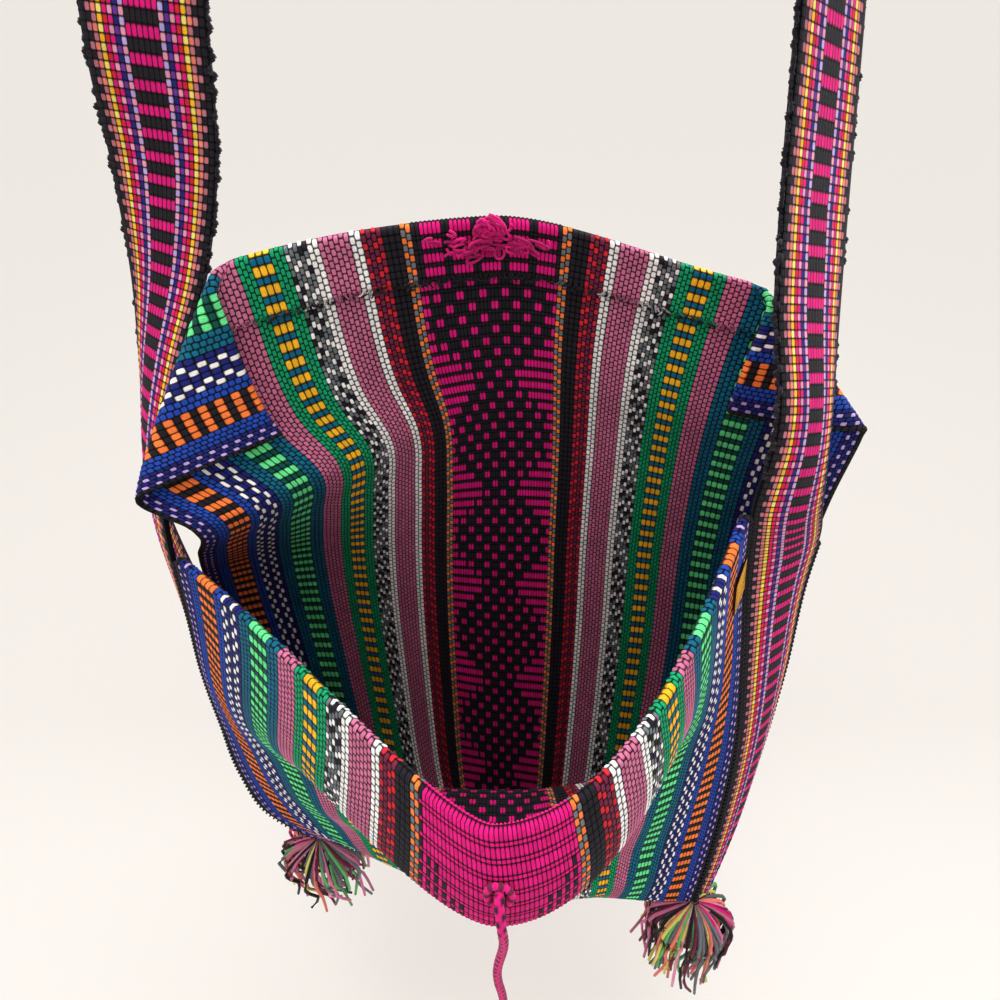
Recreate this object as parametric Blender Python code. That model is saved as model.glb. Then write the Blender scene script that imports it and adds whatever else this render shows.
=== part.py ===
"""Hand-woven shoulder bag, hanging by its strap, as a set of closed solids.

Metres, +Z up. The origin is the point that the bag hangs from: the underside of the strap at
the middle of its loop. +Y is the back of the bag, and -Y is the front, whose rim droops open.

The bag is one long strip of cloth, folded at the bottom, and one long woven band, which is the
shoulder strap and runs down both sides as the gusset between the two panels.
"""

import math

import bmesh
import bpy
import numpy as np
from mathutils import Vector

# Main sizes.
CLOTH_WIDTH = 0.360
FRONT_HEIGHT = 0.305
BACK_HEIGHT = 0.405
MOUTH_DEPTH = 0.210
BAG_DROP = 0.380
STRAP_DROP = 0.500
BACK_SET = 0.030

# Cloth, its hems and its folded top corners.
CLOTH_THICKNESS = 0.0020
LAYER_GAP = 0.0006
HEM_DEPTH = 0.026
LEFT_EAR = 0.080
RIGHT_EAR = 0.072
HEM_BEND = (CLOTH_THICKNESS + LAYER_GAP) / 2
EAR_BEND = 1.5 * (CLOTH_THICKNESS + LAYER_GAP) + LAYER_GAP / 2

# Woven band.
BAND_THICKNESS = 0.0025
BAND_CROWN = 0.004
BACK_SEWN_LEFT = 0.190
BACK_SEWN_RIGHT = 0.265
BAND_END_TRIM = 0.014
BAND_WIDTH = 0.056
HOOK_RADIUS = 0.014
HOOK_SPOT = (0, 14, 0)
HOOK_TURNS = [75, 50, 25, 0]
CROWN_ENDS = 0.45
CROWN_FADE = 0.10

# Joins. Neighbours keep a small gap to each other.
GAP = 0.0003
SEAM_RADIUS = 0.0010
SEAM_SET = SEAM_RADIUS + 3 * GAP
SEAM_END = 0.002
THREAD_RADIUS = 0.0005
THREAD_INSET = 0.003
THREAD_TO_EAR = 0.008

# Trimmings.
TASSEL_HEAD_RADIUS = 0.0095
TASSEL_HEAD_LENGTH = 0.018
FRINGE_RADIUS = 0.026
FRINGE_LENGTH = 0.050
FRINGE_LOBES = 9
FRINGE_LOBE_DEPTH = 0.12
LEFT_TASSEL_DOWN = (0.06, 0.0, -1.0)
RIGHT_TASSEL_DOWN = (-0.12, -0.25, -1.0)
EYELET_RADIUS = 0.0042
EYELET_YARN = 0.0012
EYELET_DROP = 0.020
CORD_DIAMETER = 0.0035
CORD_KNOT_RADIUS = 0.0048
LOOP_RADIUS = 0.0075
LOOP_YARN = 0.0016
LOOP_DROP = 0.012
LABEL_WIDTH = 0.015
LABEL_HEIGHT = 0.026
LABEL_THICKNESS = 0.0008
LABEL_INSET = 0.006
LABEL_DROP = 0.026

# How the cloth hangs. Each point is (across, out, down) in hundredths: of half the cloth's
# width, of the mouth's depth from the back to the lip, and of the bag's drop below the rim.
FRONT_MIDDLE = [(-1, 94, 32), (0, 99, 37), (0, 100, 43), (0, 83, 52), (0, 62, 61),
                (0, 65, 76), (0, 60, 86), (0, 64, 95), (0, 52, 100)]
BACK_MIDDLE = [(0, 52, 100), (0, 38, 96), (0, 26, 84), (0, 14, 68), (0, 5, 50),
               (0, 0, 32), (-2, 0, 13), (-3, 1, 1)]
FRONT_LEFT = [(-80, 36, 33), (-84, 34, 45), (-88, 33, 58), (-89, 34, 71), (-88, 37, 83),
              (-82, 41, 92), (-66, 43, 99)]
BACK_LEFT = [(-66, 43, 99), (-84, 21, 91), (-92, 12, 76), (-94, 10, 61), (-90, 15, 49),
             (-81, 27, 38), (-75, 34, 30), (-89, 32, 26), (-103, 23, 9)]
FRONT_RIGHT = [(56, 39, 24), (62, 34, 37), (67, 37, 51), (71, 44, 67), (71, 51, 82),
               (69, 57, 93), (68, 60, 101)]
BACK_RIGHT = [(68, 60, 101), (81, 45, 96), (89, 32, 83), (93, 21, 67), (92, 15, 50),
              (91, 15, 35), (92, 16, 22), (103, 2, 8)]

# Which way the cloth leaves each selvedge, as (across, out, down), from the front rim to the
# bottom and on to the back rim. The direction is kept over AIM_KEPT of the way to the middle,
# and the KEPT lists say how much of that way stays level at the middle.
FRONT_LEFT_AIM = [(0.80, 0.60, 0.0), (0.60, 0.80, 0.10), (0.80, 0.50, 0.00), (1.0, 0.1, 0.0)]
BACK_LEFT_AIM = [(1.0, 0.1, 0.0), (0.85, -0.40, 0.0), (0.85, -0.50, 0.0), (0.75, -0.65, -0.1)]
FRONT_RIGHT_AIM = [(-0.45, 0.87, 0.35), (-0.50, 0.85, 0.15), (-0.90, 0.35, 0.0), (-1.0, 0.1, 0.0)]
BACK_RIGHT_AIM = [(-1.0, 0.1, 0.0), (-0.90, -0.35, 0.0), (-0.90, -0.35, 0.0), (-0.92, 0.0, 0.35)]
AIM_KEPT = 0.36
FRONT_LEFT_KEPT = [0.10, 0.20, 0.32, 0.32]
BACK_LEFT_KEPT = [0.32, 0.32, 0.32, 0.40]
FRONT_RIGHT_KEPT = [0.28, 0.26, 0.32, 0.32]
BACK_RIGHT_KEPT = [0.32, 0.32, 0.30, 0.25]

# The free band above the sewn part, near edge and far edge, from the rim up to the hook.
LEFT_NEAR = [(-82, 27, 27), (-77, 12, 17), (-68, 2, 7), (-61, -1, -3), (-53, 4, -18)]
LEFT_FAR = [(-97, 5, 32), (-97, -5, 22), (-94, -10, 11), (-90, -10, -1), (-82, -3, -17)]
RIGHT_NEAR = [(57, 36, 13), (55, 26, 4), (54, 18, -5), (50, 15, -19)]
RIGHT_FAR = [(81, 24, 28), (78, 21, 19), (78, 8, 8), (77, 0, -1), (70, -3, -18)]

# The closing cord, from the eyelet down, beside and in front of the lip: (x, y, z) in metres.
CORD_ROUTE = [(-0.0003, -0.1791, -0.6367), (-0.0002, -0.1827, -0.6386), (0.0001, -0.1856, -0.6414),
              (0.0005, -0.1873, -0.6452), (0.0009, -0.1879, -0.6500), (0.0012, -0.1877, -0.6560),
              (0.0012, -0.1873, -0.6630), (0.0006, -0.1870, -0.6720), (-0.0004, -0.1869, -0.6820),
              (-0.0010, -0.1870, -0.6930), (-0.0006, -0.1872, -0.7050), (0.0006, -0.1871, -0.7180),
              (0.0014, -0.1869, -0.7330), (0.0012, -0.1868, -0.7500), (0.0002, -0.1869, -0.7690),
              (-0.0008, -0.1871, -0.7900), (-0.0010, -0.1871, -0.8120), (-0.0006, -0.1870, -0.8350),
              (-0.0001, -0.1870, -0.8580), (0.0000, -0.1870, -0.8800)]

# Mesh fineness.
CLOTH_COLUMNS = 22
ROW_STEP = 0.0145
BEND_STEPS = 4
BAND_COLUMNS = 4
BAND_STEP = 0.015
RISE_STEPS = 6
HOOK_STEPS = 5
ARC_POINTS = 60
THREAD_POINTS = 28
CORD_POINTS = 36

BACK = BACK_HEIGHT + FRONT_HEIGHT
HALF = CLOTH_WIDTH / 2


def spot(point):
    """Turns (across, out, down) in hundredths into a place in metres."""
    across, out, down = np.asarray(point, float).T / 100
    place = (across * HALF, BACK_SET - out * MOUTH_DEPTH, -STRAP_DROP - down * BAG_DROP)
    return np.stack(place, axis=-1)


def through(points, knots, at):
    """A smooth curve through points: cubic pieces whose slopes are those of the points."""
    slopes = np.gradient(points, knots, axis=0)
    index = np.clip(np.searchsorted(knots, at, side="right") - 1, 0, len(knots) - 2)
    span = knots[index + 1] - knots[index]
    s = ((at - knots[index]) / span)[..., None]
    span = span[..., None]
    return ((2 * s**3 - 3 * s**2 + 1) * points[index]
            + (s**3 - 2 * s**2 + s) * span * slopes[index]
            + (3 * s**2 - 2 * s**3) * points[index + 1]
            + (s**3 - s**2) * span * slopes[index + 1])


def lengths(points):
    """How far along its own line each point lies, from zero."""
    steps = np.linalg.norm(np.diff(points, axis=0), axis=1)
    return np.concatenate([[0.0], np.cumsum(steps)])


def down_and_up(front, back, v):
    """A line down the front and up the back of the cloth, at distances v from the front rim."""
    front, back = spot(front), spot(back)
    front_run, back_run = lengths(front), lengths(back)
    knots = np.concatenate([front_run / front_run[-1] * FRONT_HEIGHT,
                            FRONT_HEIGHT + back_run[1:] / back_run[-1] * BACK_HEIGHT])
    return through(np.concatenate([front, back[1:]]), knots, v)


def eased(front, back, v):
    """Values given at even steps down the front and up the back, read smoothly at each v."""
    knots = np.concatenate([np.linspace(0, FRONT_HEIGHT, len(front)),
                            np.linspace(FRONT_HEIGHT, BACK, len(back))[1:]])
    values = np.array(front + back[1:], float).reshape(len(knots), -1)
    return through(values, knots, v)


def aims(front, back, v):
    """The direction in which the cloth leaves its selvedge at each v, as unit vectors."""
    way = eased(front, back, v) * (1, -1, -1)
    return way / np.linalg.norm(way, axis=1, keepdims=True)


def hung_cloth(rows=180, columns=97):
    """The middle surface of the hung cloth on a fine grid, row by row.

    Each row is two cubic arcs, from a selvedge to the middle and on to the other selvedge,
    with its points spread evenly along its length.
    """
    v = np.linspace(0, BACK, rows)
    left = down_and_up(FRONT_LEFT, BACK_LEFT, v)
    middle = down_and_up(FRONT_MIDDLE, BACK_MIDDLE, v)
    right = down_and_up(FRONT_RIGHT, BACK_RIGHT, v)
    across = right - left
    across /= np.linalg.norm(across, axis=1, keepdims=True)
    s = np.linspace(0, 1, ARC_POINTS)[None, :, None]
    halves = []
    left_side = (left, aims(FRONT_LEFT_AIM, BACK_LEFT_AIM, v),
                 eased(FRONT_LEFT_KEPT, BACK_LEFT_KEPT, v), 1)
    right_side = (right, aims(FRONT_RIGHT_AIM, BACK_RIGHT_AIM, v),
                  eased(FRONT_RIGHT_KEPT, BACK_RIGHT_KEPT, v), -1)
    for edge, aim, kept, side in (left_side, right_side):
        run = np.linalg.norm(middle - edge, axis=1, keepdims=True)
        first = edge + aim * run * AIM_KEPT
        second = middle - side * across * run * kept
        halves.append(edge[:, None] * (1 - s)**3 + 3 * first[:, None] * s * (1 - s)**2
                      + 3 * second[:, None] * s**2 * (1 - s) + middle[:, None] * s**3)
    table = []
    for start, end in zip(halves[0], halves[1][:, ::-1]):
        row = []
        for half, share in ((start, np.linspace(0, 1, columns // 2 + 1)),
                            (end, np.linspace(0, 1, columns // 2 + 1)[1:])):
            run = lengths(half)
            row.append(np.stack([np.interp(share * run[-1], run, half[:, k]) for k in range(3)], 1))
        table.append(np.concatenate(row))
    return np.array(table)


def table_at(table, u, v):
    """Reads a grid of places at cloth coordinates u across and v along, in metres."""
    row = np.asarray(v) / BACK * (table.shape[0] - 1)
    column = (np.asarray(u) / HALF + 1) / 2 * (table.shape[1] - 1)
    i = np.clip(np.floor(row).astype(int), 0, table.shape[0] - 2)
    j = np.clip(np.floor(column).astype(int), 0, table.shape[1] - 2)
    a = (row - i)[..., None]
    b = (column - j)[..., None]
    return ((table[i, j] * (1 - a) + table[i + 1, j] * a) * (1 - b)
            + (table[i, j + 1] * (1 - a) + table[i + 1, j + 1] * a) * b)


CLOTH = hung_cloth()
CLOTH_OUT = np.cross(np.gradient(CLOTH, axis=0), np.gradient(CLOTH, axis=1))
CLOTH_OUT /= np.linalg.norm(CLOTH_OUT, axis=2, keepdims=True)


def cloth_place(u, v, w):
    """Where the cloth coordinates u, v and the height w over the outer side lie in space."""
    out = table_at(CLOTH_OUT, u, v)
    out /= np.linalg.norm(out, axis=-1, keepdims=True)
    return table_at(CLOTH, u, v) + out * np.asarray(w)[..., None]


def set_back(u, v):
    """Draws u in a little, so that the cloth's edges end clear of the seams."""
    row = np.clip(np.round(v / BACK * (CLOTH.shape[0] - 1)).astype(int), 0, CLOTH.shape[0] - 1)
    edge = np.where(u < 0, 0, -1)
    inner = np.where(u < 0, 1, -2)
    step = HALF / (CLOTH.shape[1] // 2)
    across = (CLOTH[row, inner] - CLOTH[row, edge]) / step
    along = np.gradient(CLOTH, axis=0)[row, edge]
    along /= np.linalg.norm(along, axis=1, keepdims=True)
    stretch = np.linalg.norm(np.cross(across, along), axis=1)
    return u * (1 - SEAM_SET / stretch / HALF)


def folded(flat, corner, outward, radius):
    """Folds what lies beyond a line over to the inner side, round a bend of the given radius."""
    outward = np.array(outward) / np.linalg.norm(outward)
    flat = flat.copy()
    beyond = (flat[:, :2] - corner) @ outward
    height = flat[:, 2]
    turn = np.clip(beyond / radius, 0, math.pi)
    past = np.maximum(beyond - math.pi * radius, 0)
    arm = radius + height
    new_beyond = np.where(beyond > 0, arm * np.sin(turn) - past, beyond)
    new_height = np.where(beyond > 0, arm * np.cos(turn) - radius, height)
    flat[:, :2] += np.outer(new_beyond - beyond, outward)
    flat[:, 2] = new_height
    return flat


def material(name, colour, roughness):
    made = bpy.data.materials.new(name)
    made.use_nodes = True
    shader = made.node_tree.nodes["Principled BSDF"]
    shader.inputs["Base Color"].default_value = (*colour, 1)
    shader.inputs["Roughness"].default_value = roughness
    shader.inputs["Metallic"].default_value = 0
    return made


def solid(name, mesh, finish):
    """Puts a mesh into the scene as one smooth shaded object."""
    made = bpy.data.objects.new(name, mesh)
    bpy.context.collection.objects.link(made)
    mesh.materials.append(finish)
    mesh.shade_smooth()
    return made


def give_thickness(made, thickness):
    """Thickens a sheet evenly to both sides into one closed solid."""
    wall = made.modifiers.new("wall", "SOLIDIFY")
    wall.thickness = thickness
    wall.offset = 0
    wall.use_even_offset = False
    return made


def grid_mesh(name, places):
    """A sheet of four-sided faces through a grid of places."""
    rows, columns = places.shape[:2]
    number = np.arange(rows * columns).reshape(rows, columns)
    faces = np.stack([number[:-1, :-1], number[:-1, 1:], number[1:, 1:], number[1:, :-1]], -1)
    mesh = bpy.data.meshes.new(name)
    mesh.from_pydata(places.reshape(-1, 3).tolist(), [], faces.reshape(-1, 4).tolist())
    return mesh


def tube_mesh(name, points, radius, sides):
    """A closed tube round a line of points, its ends filled."""
    points = np.asarray(points, float)
    along = np.gradient(points, axis=0)
    along /= np.linalg.norm(along, axis=1, keepdims=True)
    first = np.cross(along, (0.31, 0.22, 0.93))
    first /= np.linalg.norm(first, axis=1, keepdims=True)
    second = np.cross(along, first)
    angle = np.arange(sides) / sides * 2 * math.pi
    ring = (np.cos(angle)[None, :, None] * first[:, None]
            + np.sin(angle)[None, :, None] * second[:, None])
    places = points[:, None] + radius * ring
    count = len(points)
    number = np.arange(count * sides).reshape(count, sides)
    turned = np.roll(number, -1, axis=1)
    walls = np.stack([number[:-1], turned[:-1], turned[1:], number[1:]], -1).reshape(-1, 4)
    mesh = bpy.data.meshes.new(name)
    faces = walls.tolist() + [number[0][::-1].tolist(), number[-1].tolist()]
    mesh.from_pydata(places.reshape(-1, 3).tolist(), [], faces)
    return mesh


def ring_mesh(name, centre, across, radius, yarn, around=18, sides=8):
    """A closed ring of yarn, square to the direction across."""
    axis = Vector(across).normalized()
    first = np.array(axis.orthogonal().normalized())
    second = np.cross(np.array(axis), first)
    turn = np.arange(around)[:, None] / around * 2 * math.pi
    spin = np.arange(sides)[None, :] / sides * 2 * math.pi
    reach = (radius + yarn * np.cos(spin))[..., None]
    rim = np.cos(turn)[..., None] * first + np.sin(turn)[..., None] * second
    places = np.array(centre) + reach * rim + (yarn * np.sin(spin))[..., None] * np.array(axis)
    number = np.arange(around * sides).reshape(around, sides)
    walls = np.stack([number, np.roll(number, -1, 0), np.roll(np.roll(number, -1, 0), -1, 1),
                      np.roll(number, -1, 1)], -1)
    mesh = bpy.data.meshes.new(name)
    mesh.from_pydata(places.reshape(-1, 3).tolist(), [], walls.reshape(-1, 4).tolist())
    return mesh


def turned_mesh(name, top, down, profile, sides, lobes=0, lobe_depth=0.0):
    """A closed turned shape hanging from top along down; profile gives (drop, radius)."""
    axis = Vector(down).normalized()
    first = np.array(axis.orthogonal().normalized())
    second = np.cross(np.array(axis), first)
    angle = np.arange(sides) / sides * 2 * math.pi
    wave = 1 + lobe_depth * np.cos(lobes * angle)
    drop = np.array([point[0] for point in profile])
    radius = np.array([point[1] for point in profile])
    rim = np.cos(angle)[:, None] * first + np.sin(angle)[:, None] * second
    reach = radius[:, None, None] * wave[None, :, None]
    places = np.array(top) + drop[:, None, None] * np.array(axis) + reach * rim
    count = len(profile)
    number = np.arange(count * sides).reshape(count, sides)
    turned = np.roll(number, -1, axis=1)
    walls = np.stack([number[:-1], turned[:-1], turned[1:], number[1:]], -1).reshape(-1, 4)
    mesh = bpy.data.meshes.new(name)
    faces = walls.tolist() + [number[0][::-1].tolist(), number[-1].tolist()]
    mesh.from_pydata(places.reshape(-1, 3).tolist(), [], faces)
    return mesh


def cloth_rows():
    """Distances along the strip at which the cloth has a row of points, bends included."""
    bend = math.pi * HEM_BEND * np.arange(BEND_STEPS + 1) / BEND_STEPS
    hem = np.linspace(bend[-1], HEM_DEPTH, 3)[1:]
    body = np.linspace(0, BACK, round(BACK / ROW_STEP) + 1)[1:-1]
    return np.concatenate([-hem[::-1], -bend[::-1], body, BACK + bend, BACK + hem])


def bag_cloth(finish):
    """The striped strip: hems turned in first, then the top corners of the back folded in."""
    u = np.linspace(-HALF, HALF, CLOTH_COLUMNS + 1)
    v = cloth_rows()
    flat = np.stack(np.meshgrid(u, v) + [np.zeros((len(v), len(u)))], -1)
    mesh = grid_mesh("bag_cloth", flat)
    sheet = bmesh.new()
    sheet.from_mesh(mesh)
    places = np.array([vertex.co for vertex in sheet.verts])
    places = folded(places, (0, 0), (0, -1), HEM_BEND)
    places = folded(places, (0, BACK), (0, 1), HEM_BEND)
    for vertex, place in zip(sheet.verts, places):
        vertex.co = place
    ears = (((LEFT_EAR - HALF, BACK), (-1, 1)), ((HALF - RIGHT_EAR, BACK), (1, 1)))
    for corner, outward in ears:
        way = Vector((*outward, 0)).normalized()
        for step in range(BEND_STEPS + 1):
            cut = Vector((*corner, 0)) + way * (math.pi * EAR_BEND * step / BEND_STEPS)
            bmesh.ops.bisect_plane(sheet, geom=sheet.verts[:] + sheet.edges[:] + sheet.faces[:],
                                   dist=1e-6, plane_co=cut, plane_no=way)
    places = np.array([vertex.co for vertex in sheet.verts])
    for corner, outward in ears:
        places = folded(places, corner, outward, EAR_BEND)
    places[:, 0] = set_back(places[:, 0], places[:, 1])
    places = cloth_place(places[:, 0], places[:, 1], places[:, 2])
    for vertex, place in zip(sheet.verts, places):
        vertex.co = place
    sheet.to_mesh(mesh)
    sheet.free()
    return give_thickness(solid("bag_cloth", mesh, finish), CLOTH_THICKNESS)


def selvedge(side, v):
    """The line along which the cloth's edge and the band's edge are sewn together."""
    return table_at(CLOTH, np.full(np.shape(v), side * HALF), v)


def band_edges():
    """Near and far edge of each half of the band, from its bottom corner up to the hook.

    Above its last named place an edge runs straight to the hook, and then round it.
    """
    hook_y = float(spot(HOOK_SPOT)[1])
    bend = HOOK_RADIUS + BAND_THICKNESS / 2
    turn = np.radians(HOOK_TURNS)
    halves = []
    sides = ((-1, LEFT_NEAR, LEFT_FAR, BACK_SEWN_LEFT), (1, RIGHT_NEAR, RIGHT_FAR, BACK_SEWN_RIGHT))
    for side, near_free, far_free, back_sewn in sides:
        front_v = np.linspace(FRONT_HEIGHT - BAND_END_TRIM, 0, round(FRONT_HEIGHT / BAND_STEP))
        back_v = np.linspace(FRONT_HEIGHT + BAND_END_TRIM, FRONT_HEIGHT + back_sewn,
                             round(back_sewn / BAND_STEP))
        edges = []
        for sewn_v, free, shift in ((front_v, near_free, -1), (back_v, far_free, 1)):
            low = np.concatenate([selvedge(side, sewn_v), spot(free)])
            over = np.full(len(turn), hook_y + shift * BAND_WIDTH / 2)
            arch = np.stack([side * bend * np.sin(turn), over,
                             bend * np.cos(turn) - HOOK_RADIUS], 1)
            rise = np.linspace(0, 1, RISE_STEPS + 1)[1:-1, None]
            rise = low[-1] + (arch[0] - low[-1]) * rise
            edges.append(np.concatenate([low, rise, arch]))
        halves.append(edges)
    return halves


def along_band(line, count):
    """Reads an edge at even steps up to the hook, and at finer ones round it."""
    run = lengths(line)
    hook = run[-len(HOOK_TURNS)]
    even = np.linspace(0, hook, count + 1)
    bent = np.linspace(hook, run[-1], HOOK_STEPS + 1)[1:]
    return through(line, run, np.concatenate([even, bent]))


def clear_of_seam(width, edge):
    """The step across the band that brings its edge clear of the seam beside it."""
    way = width / np.linalg.norm(width, axis=1, keepdims=True)
    along = np.gradient(edge, axis=0)
    along /= np.linalg.norm(along, axis=1, keepdims=True)
    return way * SEAM_SET / np.linalg.norm(np.cross(way, along), axis=1, keepdims=True)


def strap_band(finish):
    """The band as a ruled surface between its two edges, bulged a little where it is sewn."""
    halves = []
    for side, (near, far) in zip((-1, 1), band_edges()):
        count = round(lengths(near)[-1] / BAND_STEP)
        near_line = along_band(near, count)
        far_line = along_band(far, count)
        share = np.linspace(0, 1, len(near_line))
        width = far_line - near_line
        near_line = near_line + clear_of_seam(width, near_line)
        far_line = far_line - clear_of_seam(width, far_line)
        along = np.gradient(near_line + far_line, axis=0)
        out = np.cross(width, along) * side
        out /= np.linalg.norm(out, axis=1, keepdims=True)
        sewn = np.clip((CROWN_ENDS - share) / CROWN_FADE, 0, 1)[:, None, None]
        c = np.linspace(0, 1, BAND_COLUMNS + 1)[None, :, None]
        strip = near_line[:, None] * (1 - c) + far_line[:, None] * c
        halves.append(strip + out[:, None] * BAND_CROWN * sewn * 4 * c * (1 - c))
    whole = np.concatenate([halves[0], halves[1][-2::-1]])
    return give_thickness(solid("strap_band", grid_mesh("strap_band", whole), finish),
                          BAND_THICKNESS)


def seam(name, side, back_sewn, finish):
    """The oversewn join of one side, round the end of the band from front rim to back."""
    v = np.linspace(SEAM_END, FRONT_HEIGHT + back_sewn - SEAM_END, round(BACK / ROW_STEP))
    return solid(name, tube_mesh(name, selvedge(side, v), SEAM_RADIUS, 6), finish)


def hem_thread(name, start, end, v, finish):
    """The sewing thread along the edge of a turned hem, on the inner side."""
    u = np.linspace(start, end, THREAD_POINTS)
    inner = -2 * HEM_BEND - CLOTH_THICKNESS / 2 - THREAD_RADIUS - GAP
    line = cloth_place(u, np.full(len(u), v), np.full(len(u), inner))
    return solid(name, tube_mesh(name, line, THREAD_RADIUS, 5), finish)


def tassel(side_name, corner, down, finishes):
    """A wrapped knot under a bottom corner, and the bushy strands that it holds."""
    down = np.array(down) / np.linalg.norm(down)
    top = corner + down * (SEAM_RADIUS + 3 * GAP)
    shoulder = TASSEL_HEAD_RADIUS
    head = [(0, 0.3 * shoulder), (0.15, 0.75 * shoulder), (0.4, shoulder), (0.7, 0.9 * shoulder),
            (1.0, 0.55 * shoulder)]
    head = [(drop * TASSEL_HEAD_LENGTH, radius) for drop, radius in head]
    fringe = [(0, 0.22), (0.10, 0.5), (0.28, 0.82), (0.5, 1.0), (0.75, 0.98), (0.92, 0.8),
              (1.0, 0.5)]
    fringe = [(drop * FRINGE_LENGTH, radius * FRINGE_RADIUS) for drop, radius in fringe]
    head_name = "tassel_head_" + side_name
    fringe_name = "tassel_fringe_" + side_name
    solid(head_name, turned_mesh(head_name, top, down, head, 14), finishes[0])
    start = top + down * (TASSEL_HEAD_LENGTH + GAP)
    brush = turned_mesh(fringe_name, start, down, fringe, 36, FRINGE_LOBES, FRINGE_LOBE_DEPTH)
    solid(fringe_name, brush, finishes[1])


def tie_cord(finish):
    """The closing cord as a tube along its route."""
    route = np.array(CORD_ROUTE)
    run = lengths(route)
    points = through(route, run, np.linspace(0, run[-1], CORD_POINTS))
    curve = bpy.data.curves.new("tie_cord", "CURVE")
    curve.dimensions = "3D"
    curve.bevel_depth = CORD_DIAMETER / 2
    curve.bevel_resolution = 2
    curve.use_fill_caps = True
    line = curve.splines.new("POLY")
    line.points.add(len(points) - 1)
    for spline_point, place in zip(line.points, points):
        spline_point.co = (*place, 1)
    made = bpy.data.objects.new("tie_cord", curve)
    bpy.context.collection.objects.link(made)
    curve.materials.append(finish)
    return made


def trimmings(yarn, knot_finish, label_finish):
    """The eyelet, the knot that ends the cord, the loop on the back rim, and the label."""
    out = CLOTH_THICKNESS / 2 + GAP + EYELET_YARN
    centre = cloth_place(np.array(0.0), np.array(EYELET_DROP), np.array(out))
    facing = table_at(CLOTH_OUT, np.array(0.0), np.array(EYELET_DROP))
    solid("tie_eyelet", ring_mesh("tie_eyelet", centre, facing, EYELET_RADIUS, EYELET_YARN), yarn)
    end = np.array(CORD_ROUTE[-1]) - (0, 0, GAP)
    knot = [(0.0, 0.35), (0.2, 0.8), (0.5, 1.0), (0.8, 0.8), (1.0, 0.35)]
    knot = [(2 * drop * CORD_KNOT_RADIUS, radius * CORD_KNOT_RADIUS) for drop, radius in knot]
    solid("tie_cord_knot", turned_mesh("tie_cord_knot", end, (0, 0, -1), knot, 14), knot_finish)
    inner = -2 * HEM_BEND - CLOTH_THICKNESS / 2 - LOOP_YARN - GAP
    place = (np.array(0.0), np.array(BACK - LOOP_DROP), np.array(inner))
    facing = table_at(CLOTH_OUT, place[0], place[1])
    loop = ring_mesh("back_loop", cloth_place(*place), facing, LOOP_RADIUS, LOOP_YARN)
    solid("back_loop", loop, yarn)
    right = HALF - LABEL_INSET
    u, v = np.meshgrid(np.linspace(right - LABEL_WIDTH, right, 5),
                       np.linspace(LABEL_DROP, LABEL_DROP + LABEL_HEIGHT, 5))
    over = np.full(u.shape, CLOTH_THICKNESS / 2 + 2 * GAP + LABEL_THICKNESS / 2)
    label = solid("side_label", grid_mesh("side_label", cloth_place(u, v, over)), label_finish)
    give_thickness(label, LABEL_THICKNESS)


def build():
    for old in list(bpy.data.objects):
        bpy.data.objects.remove(old, do_unlink=True)
    stripes = material("striped cotton cloth", (0.10, 0.16, 0.36), 0.9)
    band = material("woven band", (0.55, 0.04, 0.22), 0.9)
    black = material("black cotton thread", (0.02, 0.02, 0.02), 0.9)
    magenta = material("magenta yarn", (0.66, 0.02, 0.20), 0.85)
    mixed = material("mixed yarn ends", (0.55, 0.28, 0.24), 0.95)
    dark = material("dark wrapped yarn", (0.05, 0.05, 0.07), 0.9)
    ochre = material("ochre woven tape", (0.85, 0.50, 0.05), 0.8)
    bag_cloth(stripes)
    strap_band(band)
    seam("seam_left", -1, BACK_SEWN_LEFT, black)
    seam("seam_right", 1, BACK_SEWN_RIGHT, black)
    hem_end = HALF - 3 * SEAM_SET
    hem_thread("hem_stitching_front", -hem_end, hem_end, HEM_DEPTH - THREAD_INSET, black)
    hem_thread("hem_stitching_back", LEFT_EAR - HALF + THREAD_TO_EAR,
               HALF - RIGHT_EAR - THREAD_TO_EAR, BACK - HEM_DEPTH + THREAD_INSET, black)
    tassel("left", selvedge(-1, FRONT_HEIGHT), LEFT_TASSEL_DOWN, (dark, mixed))
    tassel("right", selvedge(1, FRONT_HEIGHT), RIGHT_TASSEL_DOWN, (dark, mixed))
    tie_cord(magenta)
    trimmings(magenta, magenta, ochre)


build()
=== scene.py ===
"""Hand-woven shoulder bag: striped cloth, gusset strap, tassels and closing cord.

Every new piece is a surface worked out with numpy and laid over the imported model, which is
loaded as a fixed frame. Lengths are in metres, the origin is the point the bag hangs from,
+Z is up and -Y is the front, whose rim droops open.
"""

import math

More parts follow.
